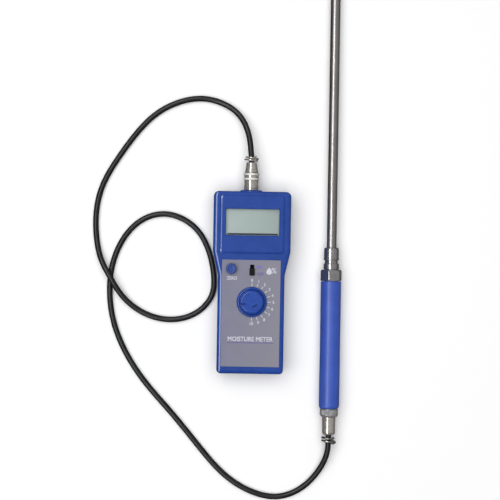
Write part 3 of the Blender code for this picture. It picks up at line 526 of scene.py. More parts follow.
def combined(bm, keep=(), add=(), cut=()):
    """The part of a shape inside those to keep, then with others added and others cut away."""
    base = held_object(bm)
    tools = []
    for operation, shapes in (("INTERSECT", keep), ("UNION", add), ("DIFFERENCE", cut)):
        for shape in shapes:
            tools.append(held_object(shape))
            boolean = base.modifiers.new("step", "BOOLEAN")
            boolean.operation = operation
            boolean.object = tools[-1]
    graph = bpy.context.evaluated_depsgraph_get()
    result = bmesh.new()
    result.from_object(base, graph)
    for obj in (base, *tools):
        bpy.data.meshes.remove(obj.data)
    return result


def new_piece(name, bm, look, body, replaced=None, matrix=None, sharp_angle=32):
    """Turns a shape in millimetres into a piece in metres that rides on a body."""
    if matrix:
        bm.transform(matrix)
    bmesh.ops.recalc_face_normals(bm, faces=bm.faces)
    bm.transform(Matrix.Scale(MM, 4))
    mesh = bpy.data.meshes.new(name)
    bm.to_mesh(mesh)
    bm.free()
    mesh.materials.append(LOOKS[look])
    mesh.shade_smooth()
    mesh.set_sharp_from_angle(angle=math.radians(sharp_angle))
    obj = link(name, mesh)
    even = obj.modifiers.new("even_shading", "WEIGHTED_NORMAL")
    even.keep_sharp = True
    return attach(obj, body, replaced)


def attach(obj, body, replaced=None):
    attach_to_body(obj, body)
    if replaced:
        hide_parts(replaced)
    return obj


# ---- curves


def smooth_curve(route, count):
    """Evenly spaced points on the natural cubic spline through the route's points."""
    points = np.array([tuple(p) for p in route], float)
    knots = np.concatenate([[0], np.cumsum(np.linalg.norm(np.diff(points, axis=0), axis=1))])
    spans = np.diff(knots)
    size = len(points)
    matrix = np.eye(size)
    right = np.zeros_like(points)
    for i in range(1, size - 1):
        matrix[i, i - 1 : i + 2] = spans[i - 1], 2 * (spans[i - 1] + spans[i]), spans[i]
        slopes = (points[i + 1] - points[i]) / spans[i] - (points[i] - points[i - 1]) / spans[i - 1]
        right[i] = 6 * slopes
    bends = np.linalg.solve(matrix, right)

    def at(distance):
        i = min(int(np.searchsorted(knots, distance, "right")) - 1, size - 2)
        ahead, behind = knots[i + 1] - distance, distance - knots[i]
        span = spans[i]
        curved = (bends[i] * ahead**3 + bends[i + 1] * behind**3) / (6 * span)
        straight = (points[i] / span - bends[i] * span / 6) * ahead
        return curved + straight + (points[i + 1] / span - bends[i + 1] * span / 6) * behind

    fine = np.array([at(d) for d in np.linspace(0, knots[-1], count * 8)])
    run = np.concatenate([[0], np.cumsum(np.linalg.norm(np.diff(fine, axis=0), axis=1))])
    even = np.linspace(0, run[-1], count)
    return [Vector([np.interp(d, run, fine[:, k]) for k in range(3)]) for d in even]


def new_wire(name, points, radius, look, sides=4):
    """A round wire through these points, as a curve with filled ends."""
    curve = bpy.data.curves.new(name, "CURVE")
    curve.dimensions = "3D"
    curve.bevel_depth = radius * MM
    curve.bevel_resolution = sides
    curve.use_fill_caps = True
    spline = curve.splines.new("POLY")
    spline.points.add(len(points) - 1)
    for knot, point in zip(spline.points, points):
        knot.co = (*(Vector(point) * MM), 1)
    spline.use_smooth = True
    curve.materials.append(LOOKS[look])
    return link(name, curve)


def strain_relief(start, direction, radii, length, slant, closing):
    """A loose wire spring round Y; slant tips its turns, and closing below 1 widens the first."""
    turns = 2
    steps = turns * 48
    points = []
    for step in range(steps + 1):
        part = step / steps
        widening = math.sin(math.pi * part**closing) ** 0.6
        radius = radii[0] + (radii[1] - radii[0]) * widening
        angle = 2 * math.pi * turns * part
        tipped = abs(slant) - slant * widening * math.cos(angle)
        along = tipped + (length - 2 * abs(slant)) * part
        x, z = radius * math.cos(angle), radius * math.sin(angle)
        points.append(Vector((x, start + direction * along, z)))
    return points


def make_cable():
    ending = [PROBE @ Vector((0, along, 0)) for along in CABLE_PROBE_RUN]
    points = smooth_curve([*CABLE_ROUTE, *ending], CABLE_POINTS)
    for point in points:
        point.z = max(point.z, CABLE_REST_Z)
    wire = new_wire("lead", points, CABLE_RADIUS, "cable", 6)
    return attach(wire, "probe", "cable")


def make_springs():
    """The open wire springs that keep the lead from kinking at the plug and at the handle."""
    wire = 0.7
    turns = strain_relief(BACK_SHELL_END + GAP + wire, 1, (3.7, 5.9), 4.6, 0.3, 0.5)
    plug = new_wire("plug_wire_spring", [p + Vector(CONNECTOR) for p in turns], wire, "nickel")
    attach(plug, "probe", "plug_spring")
    wire = 0.85
    turns = strain_relief(BARREL_END - GAP - wire, -1, (4.1, 5.9), 8.6, -1.7, 1.0)
    handle = new_wire("handle_wire_spring", [PROBE @ p for p in turns], wire, "steel")
    attach(handle, "probe", "handle_spring")
    return plug, handle


# ---- case

CASE_CORNERS = (
    (-HEAD_HALF, CASE_END, 4.5, "side"),
    (-HEAD_HALF, HEAD_LOW, TAPER_ROUND, "side"),
    (-GRIP_HALF, GRIP_HIGH, TAPER_ROUND, "side"),
    (-GRIP_HALF, -CASE_END, 3.5, "end"),
    (GRIP_HALF, -CASE_END, 3.5, "side"),
    (GRIP_HALF, GRIP_HIGH, TAPER_ROUND, "side"),
    (HEAD_HALF, HEAD_LOW, TAPER_ROUND, "side"),
    (HEAD_HALF, CASE_END, 4.5, "end"),
)
CORNER_STEPS = 8
SMALLEST_ROUND = 0.6


def inset_corners(corners, side, end):
    """The corners after each edge has moved inwards by its own amount."""
    count = len(corners)
    edges = []
    for i, corner in enumerate(corners):
        start = Vector(corner[:2])
        along = (Vector(corners[(i + 1) % count][:2]) - start).normalized()
        inward = Vector((-along.y, along.x))
        edges.append((start + inward * (end if corner[3] == "end" else side), along))
    inner = []
    for i in range(count):
        (p, d), (q, e) = edges[i - 1], edges[i]
        inner.append(p + d * ((q - p).cross(e) / d.cross(e)))
    return inner


def rounded(points, radii, steps=CORNER_STEPS):
    """The polygon with each corner replaced by an arc of steps + 1 points."""
    count = len(points)
    outline = []
    for i, (corner, radius) in enumerate(zip(points, radii)):
        back = (points[i - 1] - corner).normalized()
        ahead = (points[(i + 1) % count] - corner).normalized()
        half = back.angle(ahead) / 2
        centre = corner + (back + ahead).normalized() * radius / math.sin(half)
        first = corner + back * radius / math.tan(half) - centre
        last = corner + ahead * radius / math.tan(half) - centre
        start = math.atan2(first.y, first.x)
        sweep = math.remainder(math.atan2(last.y, last.x) - start, 2 * math.pi)
        for step in range(steps + 1):
            angle = start + sweep * step / steps
            outline.append(centre + radius * Vector((math.cos(angle), math.sin(angle))))
    return outline


def case_ring(z, side, end=None):
    """The case's outline at a height, moved inwards at its sides and ends."""
    end = side if end is None else end
    radii = []
    for x, y, radius, _ in CASE_CORNERS:
        hollow = abs(x) == GRIP_HALF and y == GRIP_HIGH
        radii.append(radius + side if hollow else max(radius - min(side, end), SMALLEST_ROUND))
    return [(p.x, p.y, z) for p in rounded(inset_corners(CASE_CORNERS, side, end), radii)]


def box_ring(centre, size, z, radius=0.5, steps=4):
    """A rectangle with rounded corners at a height."""
    half_x, half_y = size[0] / 2, size[1] / 2
    signs = ((-1, 1), (-1, -1), (1, -1), (1, 1))
    corners = [Vector((half_x * across, half_y * along)) for across, along in signs]
    return [(centre[0] + p.x, centre[1] + p.y, z) for p in rounded(corners, [radius] * 4, steps)]


def quarter_round(steps):
    """(how far in, how far down) along a quarter circle of radius 1, from its top to its side."""
    angles = [math.pi / 2 * step / steps for step in range(steps + 1)]
    return [(1 - math.sin(a), 1 - math.cos(a)) for a in angles]


def shoulder(steps):
    """(how far in, how far down) along the face's edge, steps for each of its two arcs."""
    tight_width = EDGE_RADIUS * (1 - math.sin(SHOULDER_TILT))
    broad_width = SHOULDER_RADIUS * math.sin(SHOULDER_TILT)
    broad_drop = SHOULDER_RADIUS * (1 - math.cos(SHOULDER_TILT))
    points = []
    for step in range(steps):
        angle = SHOULDER_TILT * step / steps
        across = tight_width + broad_width - SHOULDER_RADIUS * math.sin(angle)
        points.append((across, SHOULDER_RADIUS * (1 - math.cos(angle))))
    for step in range(steps + 1):
        angle = SHOULDER_TILT + (math.pi / 2 - SHOULDER_TILT) * step / steps
        down = broad_drop + EDGE_RADIUS * (math.cos(SHOULDER_TILT) - math.cos(angle))
        points.append((EDGE_RADIUS * (1 - math.sin(angle)), down))
    return points


def connector_bore():
    return moved(cylinder(THREAD_RADIUS + GAP, 75, 84, along="Y"), CONNECTOR)


def socket_pad(low_z, high_z):
    """The pad on the end wall round the socket, with sloping flanks and a softened rim."""
    inner = [(CASE_END - 1.0, 10.3, 0), (CASE_END + 0.1, 10.1, 0)]
    rings = []
    for y, half, drop in (*inner, (BOSS_Y - 0.4, 9.1, 0), (BOSS_Y, 8.7, 0.4)):
        x0, x1 = CONNECTOR[0] - half, CONNECTOR[0] + half
        rings.append([(x0, y, low_z), (x1, y, low_z), (x1, y, high_z - drop), (x0, y, high_z - drop)])
    return loft(rings)


def panel_cutters(low_z, high_z):
    """The openings that the panel film and the case have in common."""
    width, slot_low, slot_high = SWITCH_SLOT
    middle = (SWITCH_X, (slot_low + slot_high) / 2)
    slot = loft([box_ring(middle, (width, slot_high - slot_low), z, 0.4) for z in (low_z, high_z)])
    holes = [
        moved(cylinder(radius, low_z, high_z), (*centre, 0))
        for centre, radius in ((DIAL_CENTRE, 3.6), (ZERO_CENTRE, 2.6))
    ]
    return [slot, *holes]


def make_front_case():
    seam = SPLIT_Z + GAP / 2
    rings = [case_ring(FACE_Z - down, across) for across, down in shoulder(7)]
    rings += [case_ring(z, inset) for z, inset in ((seam + 0.35, 0), (seam, 0.3), (seam, WALL))]
    rings += [case_ring(CEILING_Z - 1.5, WALL), case_ring(CEILING_Z, WALL + 1.5)]

    middle = (0, (PLATFORM_LOW + PLATFORM_HIGH) / 2)
    size = Vector((2 * PLATFORM_HALF, PLATFORM_HIGH - PLATFORM_LOW))
    platform = []
    for z, inset in (
        (FACE_Z - 1.0, 0), (FACE_Z, 0), (PLATFORM_Z - 0.55, 0.25), (PLATFORM_Z - 0.42, 0.38),
        (PLATFORM_Z - 0.33, 0.6), (PLATFORM_Z - 0.12, 1.4), (PLATFORM_Z - 0.03, 1.8),
        (PLATFORM_Z, 2.2),
    ):
        platform.append(box_ring(middle, size - 2 * Vector((inset, inset)), z, 2.6, 6))

    above = PLATFORM_Z + 1
    flare = 0.5
    view = Vector(LCD_VIEW)
    window = loft(
        [
            box_ring(LCD_CENTRE, view, CEILING_Z - 1),
            box_ring(LCD_CENTRE, view, PLATFORM_Z - flare),
            box_ring(LCD_CENTRE, view + 4 * Vector((flare, flare)), PLATFORM_Z + flare),
        ]
    )
    pocket = Vector(PANE_SIZE) + Vector((2 * GAP, 2 * GAP))
    seat_low = Vector(PANEL_LOW)
    seat_size = Vector(PANEL_HIGH) - seat_low
    seat = loft([box_ring(seat_low + seat_size / 2, seat_size, z) for z in (PANEL_SEAT_Z, above)])
    cutters = [
        window,
        loft([box_ring(LCD_CENTRE, pocket, z) for z in (CEILING_Z - 2, FACE_Z)]),
        seat,
        *panel_cutters(23, above),
        connector_bore(),
    ]
    case = combined(loft(rings), add=[loft(platform), socket_pad(seam, PAD_Z[1])], cut=cutters)
    new_piece("front_case", case, "case", "meter", "front_shell")


def back_blank():
    rings = [
        case_ring(down * BACK_ROUND, across * BACK_ROUND, across * BACK_END_ROUND)
        for across, down in quarter_round(10)
    ]
    seam = SPLIT_Z - GAP / 2
    rings += [case_ring(z, inset) for z, inset in ((seam - 0.35, 0), (seam, 0.3), (seam, WALL))]
    for across, down in reversed(quarter_round(6)):
        rings.append(case_ring(WALL + down * 6.0, WALL + across * 6.0, WALL + across * 1.5))
    return loft(rings)


def at_case_screws(bm):
    """The shape at each of the case's screws, as one bmesh."""
    return several([moved(bm.copy(), (x, y, 0)) for x, y in CASE_SCREWS])


def make_back_case():
    half = COVER_HALF + GAP
    opening = block((-half, -CASE_END - 1, -1), (half, COVER_TOP_Y + GAP, COVER_LIP_Z + GAP))
    posts = at_case_screws(cylinder(3.4, 1.2, 7.7, 24))
    wells = at_case_screws(turned([(0, -1), (4.1, -1), (3.1, 0.35), (3.1, 2.9), (0, 2.9)], 32))
    bores = at_case_screws(cylinder(1.6, 2, 9, 16))
    case = combined(
        back_blank(),
        add=[socket_pad(PAD_Z[0], SPLIT_Z - GAP / 2), posts],
        cut=[opening, wells, bores, connector_bore()],
    )
    new_piece("back_case", case, "case", "meter", "rear_shell")


def make_battery_door():
    """The sliding cover, with thumb ridges and an arrow that shows the way it slides."""
    recess = 0.25
    keep = block((-COVER_HALF, -CASE_END - 1, recess), (COVER_HALF, COVER_TOP_Y, COVER_LIP_Z))
    rows = [-45.6 + 1.9 * i for i in range(7)]
    ridges = [block((-7.5, y, -1), (7.5, y + 0.9, recess + 0.55), 0.15) for y in rows]
    outline = [(-3.2, -49.5), (0, -54.5), (3.2, -49.5)]
    arrow = loft([[(x, y, z) for x, y in outline] for z in (-1, recess + 0.4)])
    cover = combined(back_blank(), keep=[keep], cut=[several(ridges), arrow])
    new_piece("battery_door_cover", cover, "case", "battery_door", "battery_cover")


def make_case_screws():
    profile = softened(
        [(0, 0.7), (2.4, 0.7), (2.75, 1.2), (2.75, 2.6), (1.05, 2.6), (1.05, 16.5), (0, 17.0)], 0.25
    )
    for number, place in enumerate(CASE_SCREWS, 1):
        arms = [block((-x, -y, 0), (x, y, 1.7)) for x, y in ((0.38, 1.65), (1.65, 0.38))]
        screw = combined(turned(profile, 48), cut=arms)
        turn = Matrix.Translation((*place, 0)) @ Matrix.Rotation(math.radians(37 * number), 4, "Z")
        replaced = f"case_screw_{number}"
        new_piece(f"cross_screw_{number}", screw, "steel", "meter", replaced, turn)


# ---- front panel

INK_Z = (FACE_Z + 0.02, FACE_Z + 0.06)


def lettering(text, centre, size, bold):
    """Flat letters that fill a box; a width of 0 keeps their shape, and bold widens each stroke."""
    curve = bpy.data.curves.new("held", "FONT")
    curve.body = text
    curve.extrude = 0.5
    curve.resolution_u = 4
    holder = link("held", curve)
    bpy.context.view_layer.update()
    bm = bmesh.new()
    graph = bpy.context.evaluated_depsgraph_get()
    held = bpy.data.meshes.new_from_object(holder.evaluated_get(graph))
    bm.from_mesh(held)
    bpy.data.meshes.remove(held)
    bpy.data.curves.remove(curve)
    bmesh.ops.remove_doubles(bm, verts=bm.verts, dist=1e-4)
    low = Vector([min(v.co[k] for v in bm.verts) for k in range(3)])
    high = Vector([max(v.co[k] for v in bm.verts) for k in range(3)])
    tall = (size[1] - bold) / (high.y - low.y)
    wide = (size[0] - bold) / (high.x - low.x) if size[0] else tall
    bm.transform(Matrix.Translation(-(low + high) / 2))
    bm.transform(Matrix.Diagonal((wide, tall, INK_Z[1] - INK_Z[0], 1)))
    half = bold / 2
    lower = 0.003  # a little lower each time, so that no two faces share a plane
    shifts = ((-half, half, -lower), (half, half, -2 * lower), (half, -half, -3 * lower))
    copies = [moved(bm.copy(), shift) for shift in shifts]
    bm = combined(moved(bm, (-half, -half, 0)), add=copies)
    return moved(bm, (*centre, sum(INK_Z) / 2))


def prism(outline):
    return loft([[(x, y, z) for x, y in outline] for z in INK_Z])


def droplet(centre, height):
    """A water drop that stands on its round end."""
    outline = []
    for step in range(1, 48):
        t = 2 * math.pi * step / 48
        x = 0.52 * height * math.sin(t) * math.sin(t / 2) ** 1.3
        outline.append((centre[0] + x, centre[1] + height / 2 * math.cos(t)))
    return prism(outline)


def make_scale():
    """Ticks and numbers 0 to 10 clockwise round the dial, from its top to its bottom."""
    marks = []
    for number in range(11):
        angle = math.radians(90 - 18 * number)
        outward = Vector((math.cos(angle), math.sin(angle)))
        side = Vector((-outward.y, outward.x))
        centre = Vector(DIAL_CENTRE)
        near, far = centre + outward * 14.1, centre + outward * 16.7
        wide, narrow = side * 0.38, side * 0.2
        marks.append(prism([near - wide, near + wide, far + narrow, far - narrow]))
        marks.append(lettering(str(number), centre + outward * 19.0, (0, 2.6), 0.12))
    return marks


def make_panel():
    low = (PANEL_LOW[0] + GAP, PANEL_LOW[1] + GAP, PANEL_SEAT_Z + GAP)
    high = (PANEL_HIGH[0] - GAP, PANEL_HIGH[1] - GAP, FACE_Z)
    film = combined(block(low, high, 0.08), cut=panel_cutters(20, 30))
    new_piece("panel_film", film, "panel", "meter", "panel_overlay")
    white = [
        *make_scale(),
        lettering("ZERO", (-16.9, 3.9), (8.9, 3.1), 0.1),
        lettering("MOISTURE METER", (0.0, -49.4), (39.3, 4.0), 0.16),
        droplet((15.6, 10.5), 6.3),
        lettering("%", (19.9, 10.8), (4.4, 5.0), 0.1),
    ]
    new_piece("print_white", several(white), "ink_white", "meter")
    violet = lettering("ON", (6.9, 13.7), (4.8, 2.6), 0.35)
    new_piece("print_violet", violet, "ink_violet", "meter")
    underline = [(-20.5, -53.0), (20.5, -53.0), (20.5, -52.3), (-20.5, -52.3)]
    faint = [lettering("OFF", (7.9, 7.6), (6.0, 2.7), 0.25), prism(underline)]
    new_piece("print_faint", several(faint), "ink_faint", "meter")


def make_display():
    """Liquid crystal glass under its window, with a dark strip along the window's lower edge."""
    x, y = LCD_CENTRE
    half_x, half_y = GLASS_SIZE[0] / 2, GLASS_SIZE[1] / 2
    glass = block((x - half_x, y - half_y, GLASS_Z[0]), (x + half_x, y + half_y, GLASS_Z[1]), 0.15)
    new_piece("display_glass", glass, "display", "meter", "lcd_glass")
    view_x, view_y = LCD_VIEW[0] / 2, LCD_VIEW[1] / 2
    ledge_low = (x - view_x + 1.4, y - view_y + 0.5, GLASS_Z[1] + 0.02)
    ledge_high = (x + view_x - 1.4, y - view_y + 1.9, PANEL_SEAT_Z - 1.2)
    ledge = block(ledge_low, ledge_high, 0.25)
    new_piece("display_ledge", ledge, "display_dark_strip", "meter")


# ---- knobs and switch


def ribbed(count, depth, low, high):
    """A ripple that sinks grip grooves into a turned side between two heights."""

    def ripple(radius, height, angle):
        inside = low <= height <= high
        return radius - depth * (0.5 - 0.5 * math.cos(count * angle)) ** 3 if inside else radius

    return ripple


def make_dial():
    """A skirted knob: a bead round its cap, and a cap with a notch, a slot and two dimples."""
    skirt_top = KNOB_LOW_Z + 2.4
    bore = 3.3
    cap = DIAL_GRIP_RADIUS - 0.3
    profile = [
        (0, DIAL_TOP_Z - 2.4), (bore, DIAL_TOP_Z - 2.4), (bore, KNOB_LOW_Z),
        (DIAL_RADIUS, KNOB_LOW_Z), (DIAL_RADIUS, skirt_top - 1.3),
        (DIAL_RADIUS - 0.6, skirt_top - 0.5), (cap + 1.9, skirt_top), (cap + 1.1, skirt_top),
        (cap + 0.6, skirt_top - 1.2), (cap + 0.1, skirt_top - 1.2), (cap, skirt_top + 0.3),
        (cap - 0.1, DIAL_TOP_Z - 0.9), (cap - 1.0, DIAL_TOP_Z - 0.1), (0, DIAL_TOP_Z),
    ]
    above = DIAL_TOP_Z + 1
    floor_z = DIAL_TOP_Z - 1.6
    slot_place = Matrix.Translation((2.7, -3.1, 0)) @ Matrix.Rotation(math.radians(30), 4, "Z")

    def marks(inset, low, high):
        """The notch at nine o'clock and the slot at half past four."""
        notch = block((-9.9 + inset, -2.3 + inset, low), (-5.4 - inset, -1.0 - inset, high))
        slot = block((-2.3 + inset, -0.65 + inset, low), (2.3 - inset, 0.65 - inset, high))
        slot.transform(slot_place)
        return several([notch, slot])

    dimples = [
        moved(turned([(0, -0.7), (0.8, -0.6), (1.1, 1), (0, 1)], 24), (x, y, DIAL_TOP_Z))
        for x, y in ((-3.3, 2.3), (1.9, 1.9))
    ]
    blank = turned(softened(profile, 0.45, 4), 128)
    knob = combined(blank, cut=[marks(0, floor_z, above), several(dimples)])
    place = Matrix.Translation((*DIAL_CENTRE, 0))
    new_piece("range_dial", knob, "knob", "dial", "dial_knob", place)
    # A dark inlay at the floor of the notch and the slot paints the shade inside them
    mark_shade = marks(0.1, floor_z + 0.02, floor_z + 0.9)
    new_piece("dial_mark_painted_shade", mark_shade, "recess_painted_shade", "dial", matrix=place)


def make_zero_knob():
    bore = 2.3
    profile = [
        (0, ZERO_TOP_Z - 1.4), (bore, ZERO_TOP_Z - 1.4), (bore, KNOB_LOW_Z),
        (ZERO_RADIUS, KNOB_LOW_Z), (ZERO_RADIUS, KNOB_LOW_Z + 1.0),
        (ZERO_RADIUS - 0.1, ZERO_TOP_Z - 0.9), (ZERO_RADIUS - 0.8, ZERO_TOP_Z),
        (ZERO_RADIUS - 1.6, ZERO_TOP_Z), (ZERO_RADIUS - 2.4, ZERO_TOP_Z - 0.5),
        (0, ZERO_TOP_Z - 0.6),
    ]
    ribs = ribbed(20, 0.35, KNOB_LOW_Z + 0.9, ZERO_TOP_Z - 0.8)
    body = turned(softened(profile, 0.35), 160, ripple=ribs)
    pointer = block((-0.35, 0.3, ZERO_TOP_Z - 1.0), (0.35, ZERO_RADIUS - 0.6, ZERO_TOP_Z + 1), 0.1)
    knob = combined(body, cut=[pointer])
    place = Matrix.Translation((*ZERO_CENTRE, 0))
    new_piece("zero_adjust_knob", knob, "sheen_painted_knob", "zero_adjuster", "zero_knob", place)


def make_slider():
    width, low, high = SLIDER_CAP
    left, right = SWITCH_X - width / 2, SWITCH_X + width / 2
    cap = block((left, low, KNOB_LOW_Z), (right, high, SLIDER_TOP_Z), 0.25)
    stem = block((SWITCH_X - 1.5, low + 0.4, 19.9), (SWITCH_X + 1.5, high - 0.4, KNOB_LOW_Z + 0.5))
    ridge_step = (high - low - 1.0) / 6
    bottom, above = SLIDER_TOP_Z - 0.55, SLIDER_TOP_Z + 1
    grooves = [
        block((SWITCH_X - 3, y - 0.22, bottom), (SWITCH_X + 3, y + 0.22, above))
        for y in (low + 0.5 + ridge_step * (i + 0.5) for i in range(6))
    ]
    slider = combined(cap, add=[stem], cut=[several(grooves)])
    new_piece("slide_cap", slider, "black", "switch_slider", "power_slider")


# ---- connector


def connector_piece(name, profile, look, body, replaced, radius, segments=64, ripple=None):
    """A piece turned round the connector's axis; flutes for its side come as a ripple."""
    shape = turned(softened(profile, radius), segments, "Y", ripple)
    return new_piece(name, shape, look, body, replaced, Matrix.Translation(CONNECTOR))


def make_socket():
    profile = [
        (2.7, 70.5), (THREAD_RADIUS, 70.5), (THREAD_RADIUS, BOSS_Y + GAP), (6.2, BOSS_Y + GAP),
        (6.2, 82.7), (4.75, 82.7), (4.75, 90.9), (4.35, 91.3), (4.05, 91.3), (4.05, 84.5),
        (2.7, 84.5),
    ]
    studs = []
    for side in (-1, 1):
        stud = turned([(0, 4.4), (1.0, 4.4), (1.0, 5.15), (0.85, 5.3), (0, 5.3)], 24)
        stud.transform(Matrix.Rotation(math.radians(90 * side), 4, "Y"))
        studs.append(moved(stud, (0, 87.0, 0)))
    socket = combined(turned(softened(profile, 0.15), 64, "Y"), add=[several(studs)])
    place = Matrix.Translation(CONNECTOR)
    new_piece("panel_socket", socket, "nickel", "meter", "bnc_jack", place)


def make_plug():
    """The coupling nut with its two bright rings, and the tapered shell behind it."""
    nut = [
        (5.6, 83.0), (6.5, 83.0), (6.5, 84.6), (6.1, 85.1), (6.1, 90.0), (6.4, 90.3), (6.4, 92.3),
        (6.2, 92.7), (6.2, 94.1), (6.4, 94.5), (6.4, 96.4), (6.1, 96.7), (4.5, 96.7), (4.5, 95.6),
        (5.6, 95.6),
    ]
    connector_piece("plug_coupling_nut", nut, "nickel", "plug_nut", "coupling_nut", 0.35)
    for number, middle in enumerate((91.3, 95.4), 1):
        band = [
            (6.45, middle - 0.9), (6.8, middle - 0.9), (7.0, middle - 0.6), (7.0, middle + 0.6),
            (6.8, middle + 0.9), (6.45, middle + 0.9),
        ]
        flutes = ribbed(60, 0.12, middle - 0.7, middle + 0.7)
        name = f"plug_nut_band_{number}"
        connector_piece(name, band, "nut_band_painted_highlight", "plug_nut", None, 0.15, 240, flutes)
    shell = [
        (4.45, 97.0), (5.5, 97.0), (5.75, 97.4), (5.7, 98.9), (5.45, 99.2),
        (4.5, BACK_SHELL_END - 0.7), (4.1, BACK_SHELL_END), (CABLE_MOUTH, BACK_SHELL_END),
        (CABLE_MOUTH, 99.9), (4.45, 99.9),
    ]
    replaced = "plug_back_shell"
    return connector_piece("plug_tail_shell", shell, "nickel", "probe", replaced, 0.25)


# ---- probe


def probe_piece(name, profile, look, replaced, radius, segments=72, ripple=None):
    shape = turned(softened(profile, radius), segments, "Y", ripple)
    return new_piece(name, shape, look, "probe", replaced, PROBE)


def make_handle():
    low, high = SLEEVE_RUN
    sleeve = [
        (SLEEVE_BORE, low), (7.4, low), (8.1, low + 0.35), (8.75, low + 1.4),
        (SLEEVE_RADIUS, low + 3.0), (SLEEVE_RADIUS, low + 30), (SLEEVE_RADIUS - 0.12, (low + high) / 2),
        (SLEEVE_RADIUS, high - 30), (SLEEVE_RADIUS, high - 0.8), (SLEEVE_RADIUS - 0.6, high),
        (SLEEVE_BORE, high),
    ]
    probe_piece("handle_grip", sleeve, "handle", "handle_sleeve", 1.0, 96)
    cap_top = low - GAP
    cap = [
        (SLEEVE_BORE, cap_top), (7.8, cap_top), (8.0, cap_top - 0.3), (8.0, cap_top - 1.0),
        (8.0, low - 4.8), (8.0, low - 5.6), (7.0, -125.2), (4.9, -125.2), (4.9, -124.3),
        (SLEEVE_BORE, -124.3),
    ]
    flutes = ribbed(36, 0.3, low - 5.0, cap_top - 0.9)
    probe_piece("handle_cap", cap, "aluminium", "handle_end_cap", 0.2, 216, flutes)
    barrel = [
        (CABLE_MOUTH, -116.0), (4.5, -116.0), (4.5, -125.5), (5.8, -125.5), (5.8, -127.0),
        (5.7, -139.4), (5.1, BARREL_END), (CABLE_MOUTH, BARREL_END),
    ]
    probe_piece("lead_barrel", barrel, "nickel", "cable_barrel", 0.5)


def make_gland():
    """The hexagonal nut on the handle and the grooved collar that holds the rod."""
    half = 5.0
    bar = cylinder(HEX_CORNER, -half - 1, half + 1, 6, "Y")
    edges = [edge for edge in bar.edges if abs(edge.verts[0].co.y - edge.verts[1].co.y) > 1]
    bmesh.ops.bevel(bar, geom=edges, offset=0.9, segments=5, affect="EDGES", profile=0.5)
    bar.transform(Matrix.Rotation(math.radians(30) - HEX_TURN, 4, "Y"))
    rounding = [
        (SLEEVE_BORE, -half), (8.6, -half), (HEX_CORNER + 0.1, -half + 1.1),
        (HEX_CORNER + 0.1, half - 1.5), (8.1, half), (SLEEVE_BORE, half),
    ]
    nut = combined(bar, keep=[turned(softened(rounding, 0.4, 4), 96, "Y")])
    new_piece("gland_hex_nut", nut, "chrome", "probe", "hex_nut", PROBE, 22)
    collar = [
        (ROD_RADIUS + GAP, 1.3), (6.0, 1.3), (6.0, half + GAP), (6.75, half + GAP), (6.75, 9.9),
        (6.35, 10.3), (5.75, 10.5), (5.75, 13.4), (6.9, 13.7), (6.9, 14.8), (6.5, 15.2),
        (6.5, 23.6), (5.5, 24.6), (ROD_RADIUS + GAP, 24.6),
    ]
    probe_piece("gland_collar", collar, "chrome", "rod_collar", 0.3)


def make_rod():
    inner = 3.25
    rod = [(inner, -20.0), (ROD_RADIUS, -20.0), (ROD_RADIUS, ROD_END), (inner, ROD_END)]
    probe_piece("rod_tube", rod, "rod", "probe_rod", 0.15, 96)
    ring = [
        (1.3, ROD_END - 8.0), (inner - GAP, ROD_END - 8.0), (inner - GAP, ROD_END + GAP),
        (ROD_RADIUS, ROD_END + GAP), (ROD_RADIUS, TIP_START - GAP), (1.3, TIP_START - GAP),
    ]
    probe_piece("tip_insulator", ring, "white", "rod_insulator", 0.2)
    tip = [
        (0, TIP_START + 5.3), (1.3, TIP_START + 5.3), (1.3, TIP_START), (ROD_RADIUS, TIP_START),
        (ROD_RADIUS, TIP_CYLINDER), (1.2, TIP_END - 0.6), (0, TIP_END),
    ]
    probe_piece("rod_point", tip, "rod", "probe_tip", 0.3)


# ---- CAD nodes that stay

KEPT_NODES = {
    "pane": ["lcd_window"],
    # The power switch's metal housing, seen through the slider's slot, takes the black look too:
    # painted shade inside the slot
    "black": [
        "lcd_holder", "zebra_strip_upper", "zebra_strip_lower", "display_chip", "sensing_chip",
        "dial_potentiometer", "zero_potentiometer", "power_switch", "battery_snap",
    ],
    "board": ["circuit_board"],
    "battery": ["battery"],
    "red_wire": ["battery_wire_red"],
    "cable": ["battery_wire_black"],
    "aluminium": ["dial_shaft", "zero_shaft"],
    "steel": ["jack_washer", "handle_tube", *(f"board_screw_{number}" for number in range(1, 5))],
    "nickel": ["jack_nut", "plug_body"],
    "white": ["jack_insulator", "plug_insulator", "rod_bush"],
    "brass": ["jack_contact", "plug_pin", "inner_conductor"],
}


def dress_kept_nodes():
    for look, names in KEPT_NODES.items():
        for name in names:
            materials = nodes[name].data.materials
            materials.clear()
            materials.append(LOOKS[look])


# ---- studio


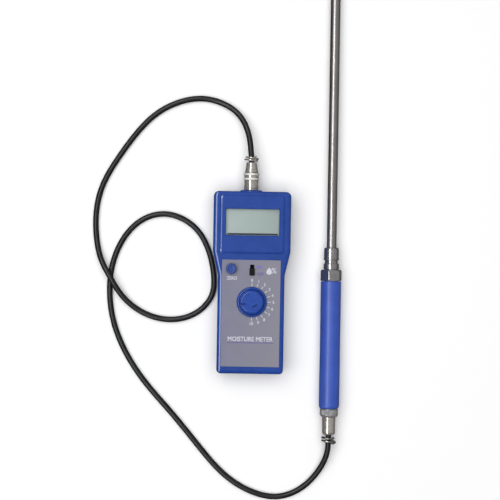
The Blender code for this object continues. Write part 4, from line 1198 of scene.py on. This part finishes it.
def make_floor():
    mesh = bpy.data.meshes.new("floor")
    reach = 30.0  # metres
    corners = [(-reach, -reach, 0), (reach, -reach, 0), (reach, reach, 0), (-reach, reach, 0)]
    mesh.from_pydata(corners, [], [(0, 1, 2, 3)])
    floor = link("floor", mesh)
    made = bpy.data.materials.new("floor_paper")
    made.use_nodes = True
    shader = made.node_tree.nodes["Principled BSDF"]
    shader.inputs["Base Color"].default_value = (0.91, 0.91, 0.915, 1)
    shader.inputs["Roughness"].default_value = 0.9
    shader.inputs["Specular IOR Level"].default_value = 0.1
    mesh.materials.append(made)
    floor.visible_glossy = False


def add_light(name, place, size, power, diffuse, glossy):
    """A rectangular lamp that faces the object; the first side of its size runs along Y."""
    data = bpy.data.lights.new(name, "AREA")
    data.shape = "RECTANGLE"
    data.size, data.size_y = size
    data.energy = power
    light = link(name, data)
    light.location = place
    light.rotation_euler = (-Vector(place)).to_track_quat("-Z", "Y").to_euler()
    light.visible_camera = False
    light.visible_diffuse = diffuse
    light.visible_glossy = glossy


def make_studio():
    """A wide soft sky lights the colours; a long strip on the left is what glossy faces mirror."""
    add_light("sky_fill", (-0.25, 0.1, 1.9), (2.5, 2.5), 54.0, True, False)
    add_light("strip_left", (-0.50, 0.05, 1.2), (3.0, 0.28), 13.5, False, True)
    world = bpy.data.worlds.new("room")
    bpy.context.scene.world = world
    world.use_nodes = True
    tree = world.node_tree
    place = add_node(tree, "TexCoord")
    axes = add_node(tree, "SeparateXYZ", {0: place.outputs["Generated"]})
    across = ranged(tree, axes.outputs["X"], -0.95, 0.0, 0.09, 0.28)
    right = ranged(tree, axes.outputs["X"], 0.2, 1.0, 1.0, 0.85)
    near = ranged(tree, axes.outputs["Y"], -0.7, 0.0, 0.35, 1.0)
    up = ranged(tree, axes.outputs["Z"], -0.2, 0.4, 0.3, 1.0)
    light = across
    for share in (right, near, up):
        light = maths(tree, "MULTIPLY", light, share)
    tree.links.new(light, tree.nodes["Background"].inputs["Strength"])
    tree.nodes["Background"].inputs["Color"].default_value = (1.0, 0.985, 0.965, 1)
    bpy.context.scene.view_settings.view_transform = "Standard"


# ---- making

make_camera()
lead = make_cable()
plug_spring, handle_spring = make_springs()
tail_shell = make_plug()
make_front_case()
make_back_case()
make_battery_door()
make_case_screws()
make_panel()
make_display()
make_dial()
make_zero_knob()
make_slider()
make_socket()
make_handle()
make_gland()
make_rod()
dress_kept_nodes()
make_floor()
make_studio()
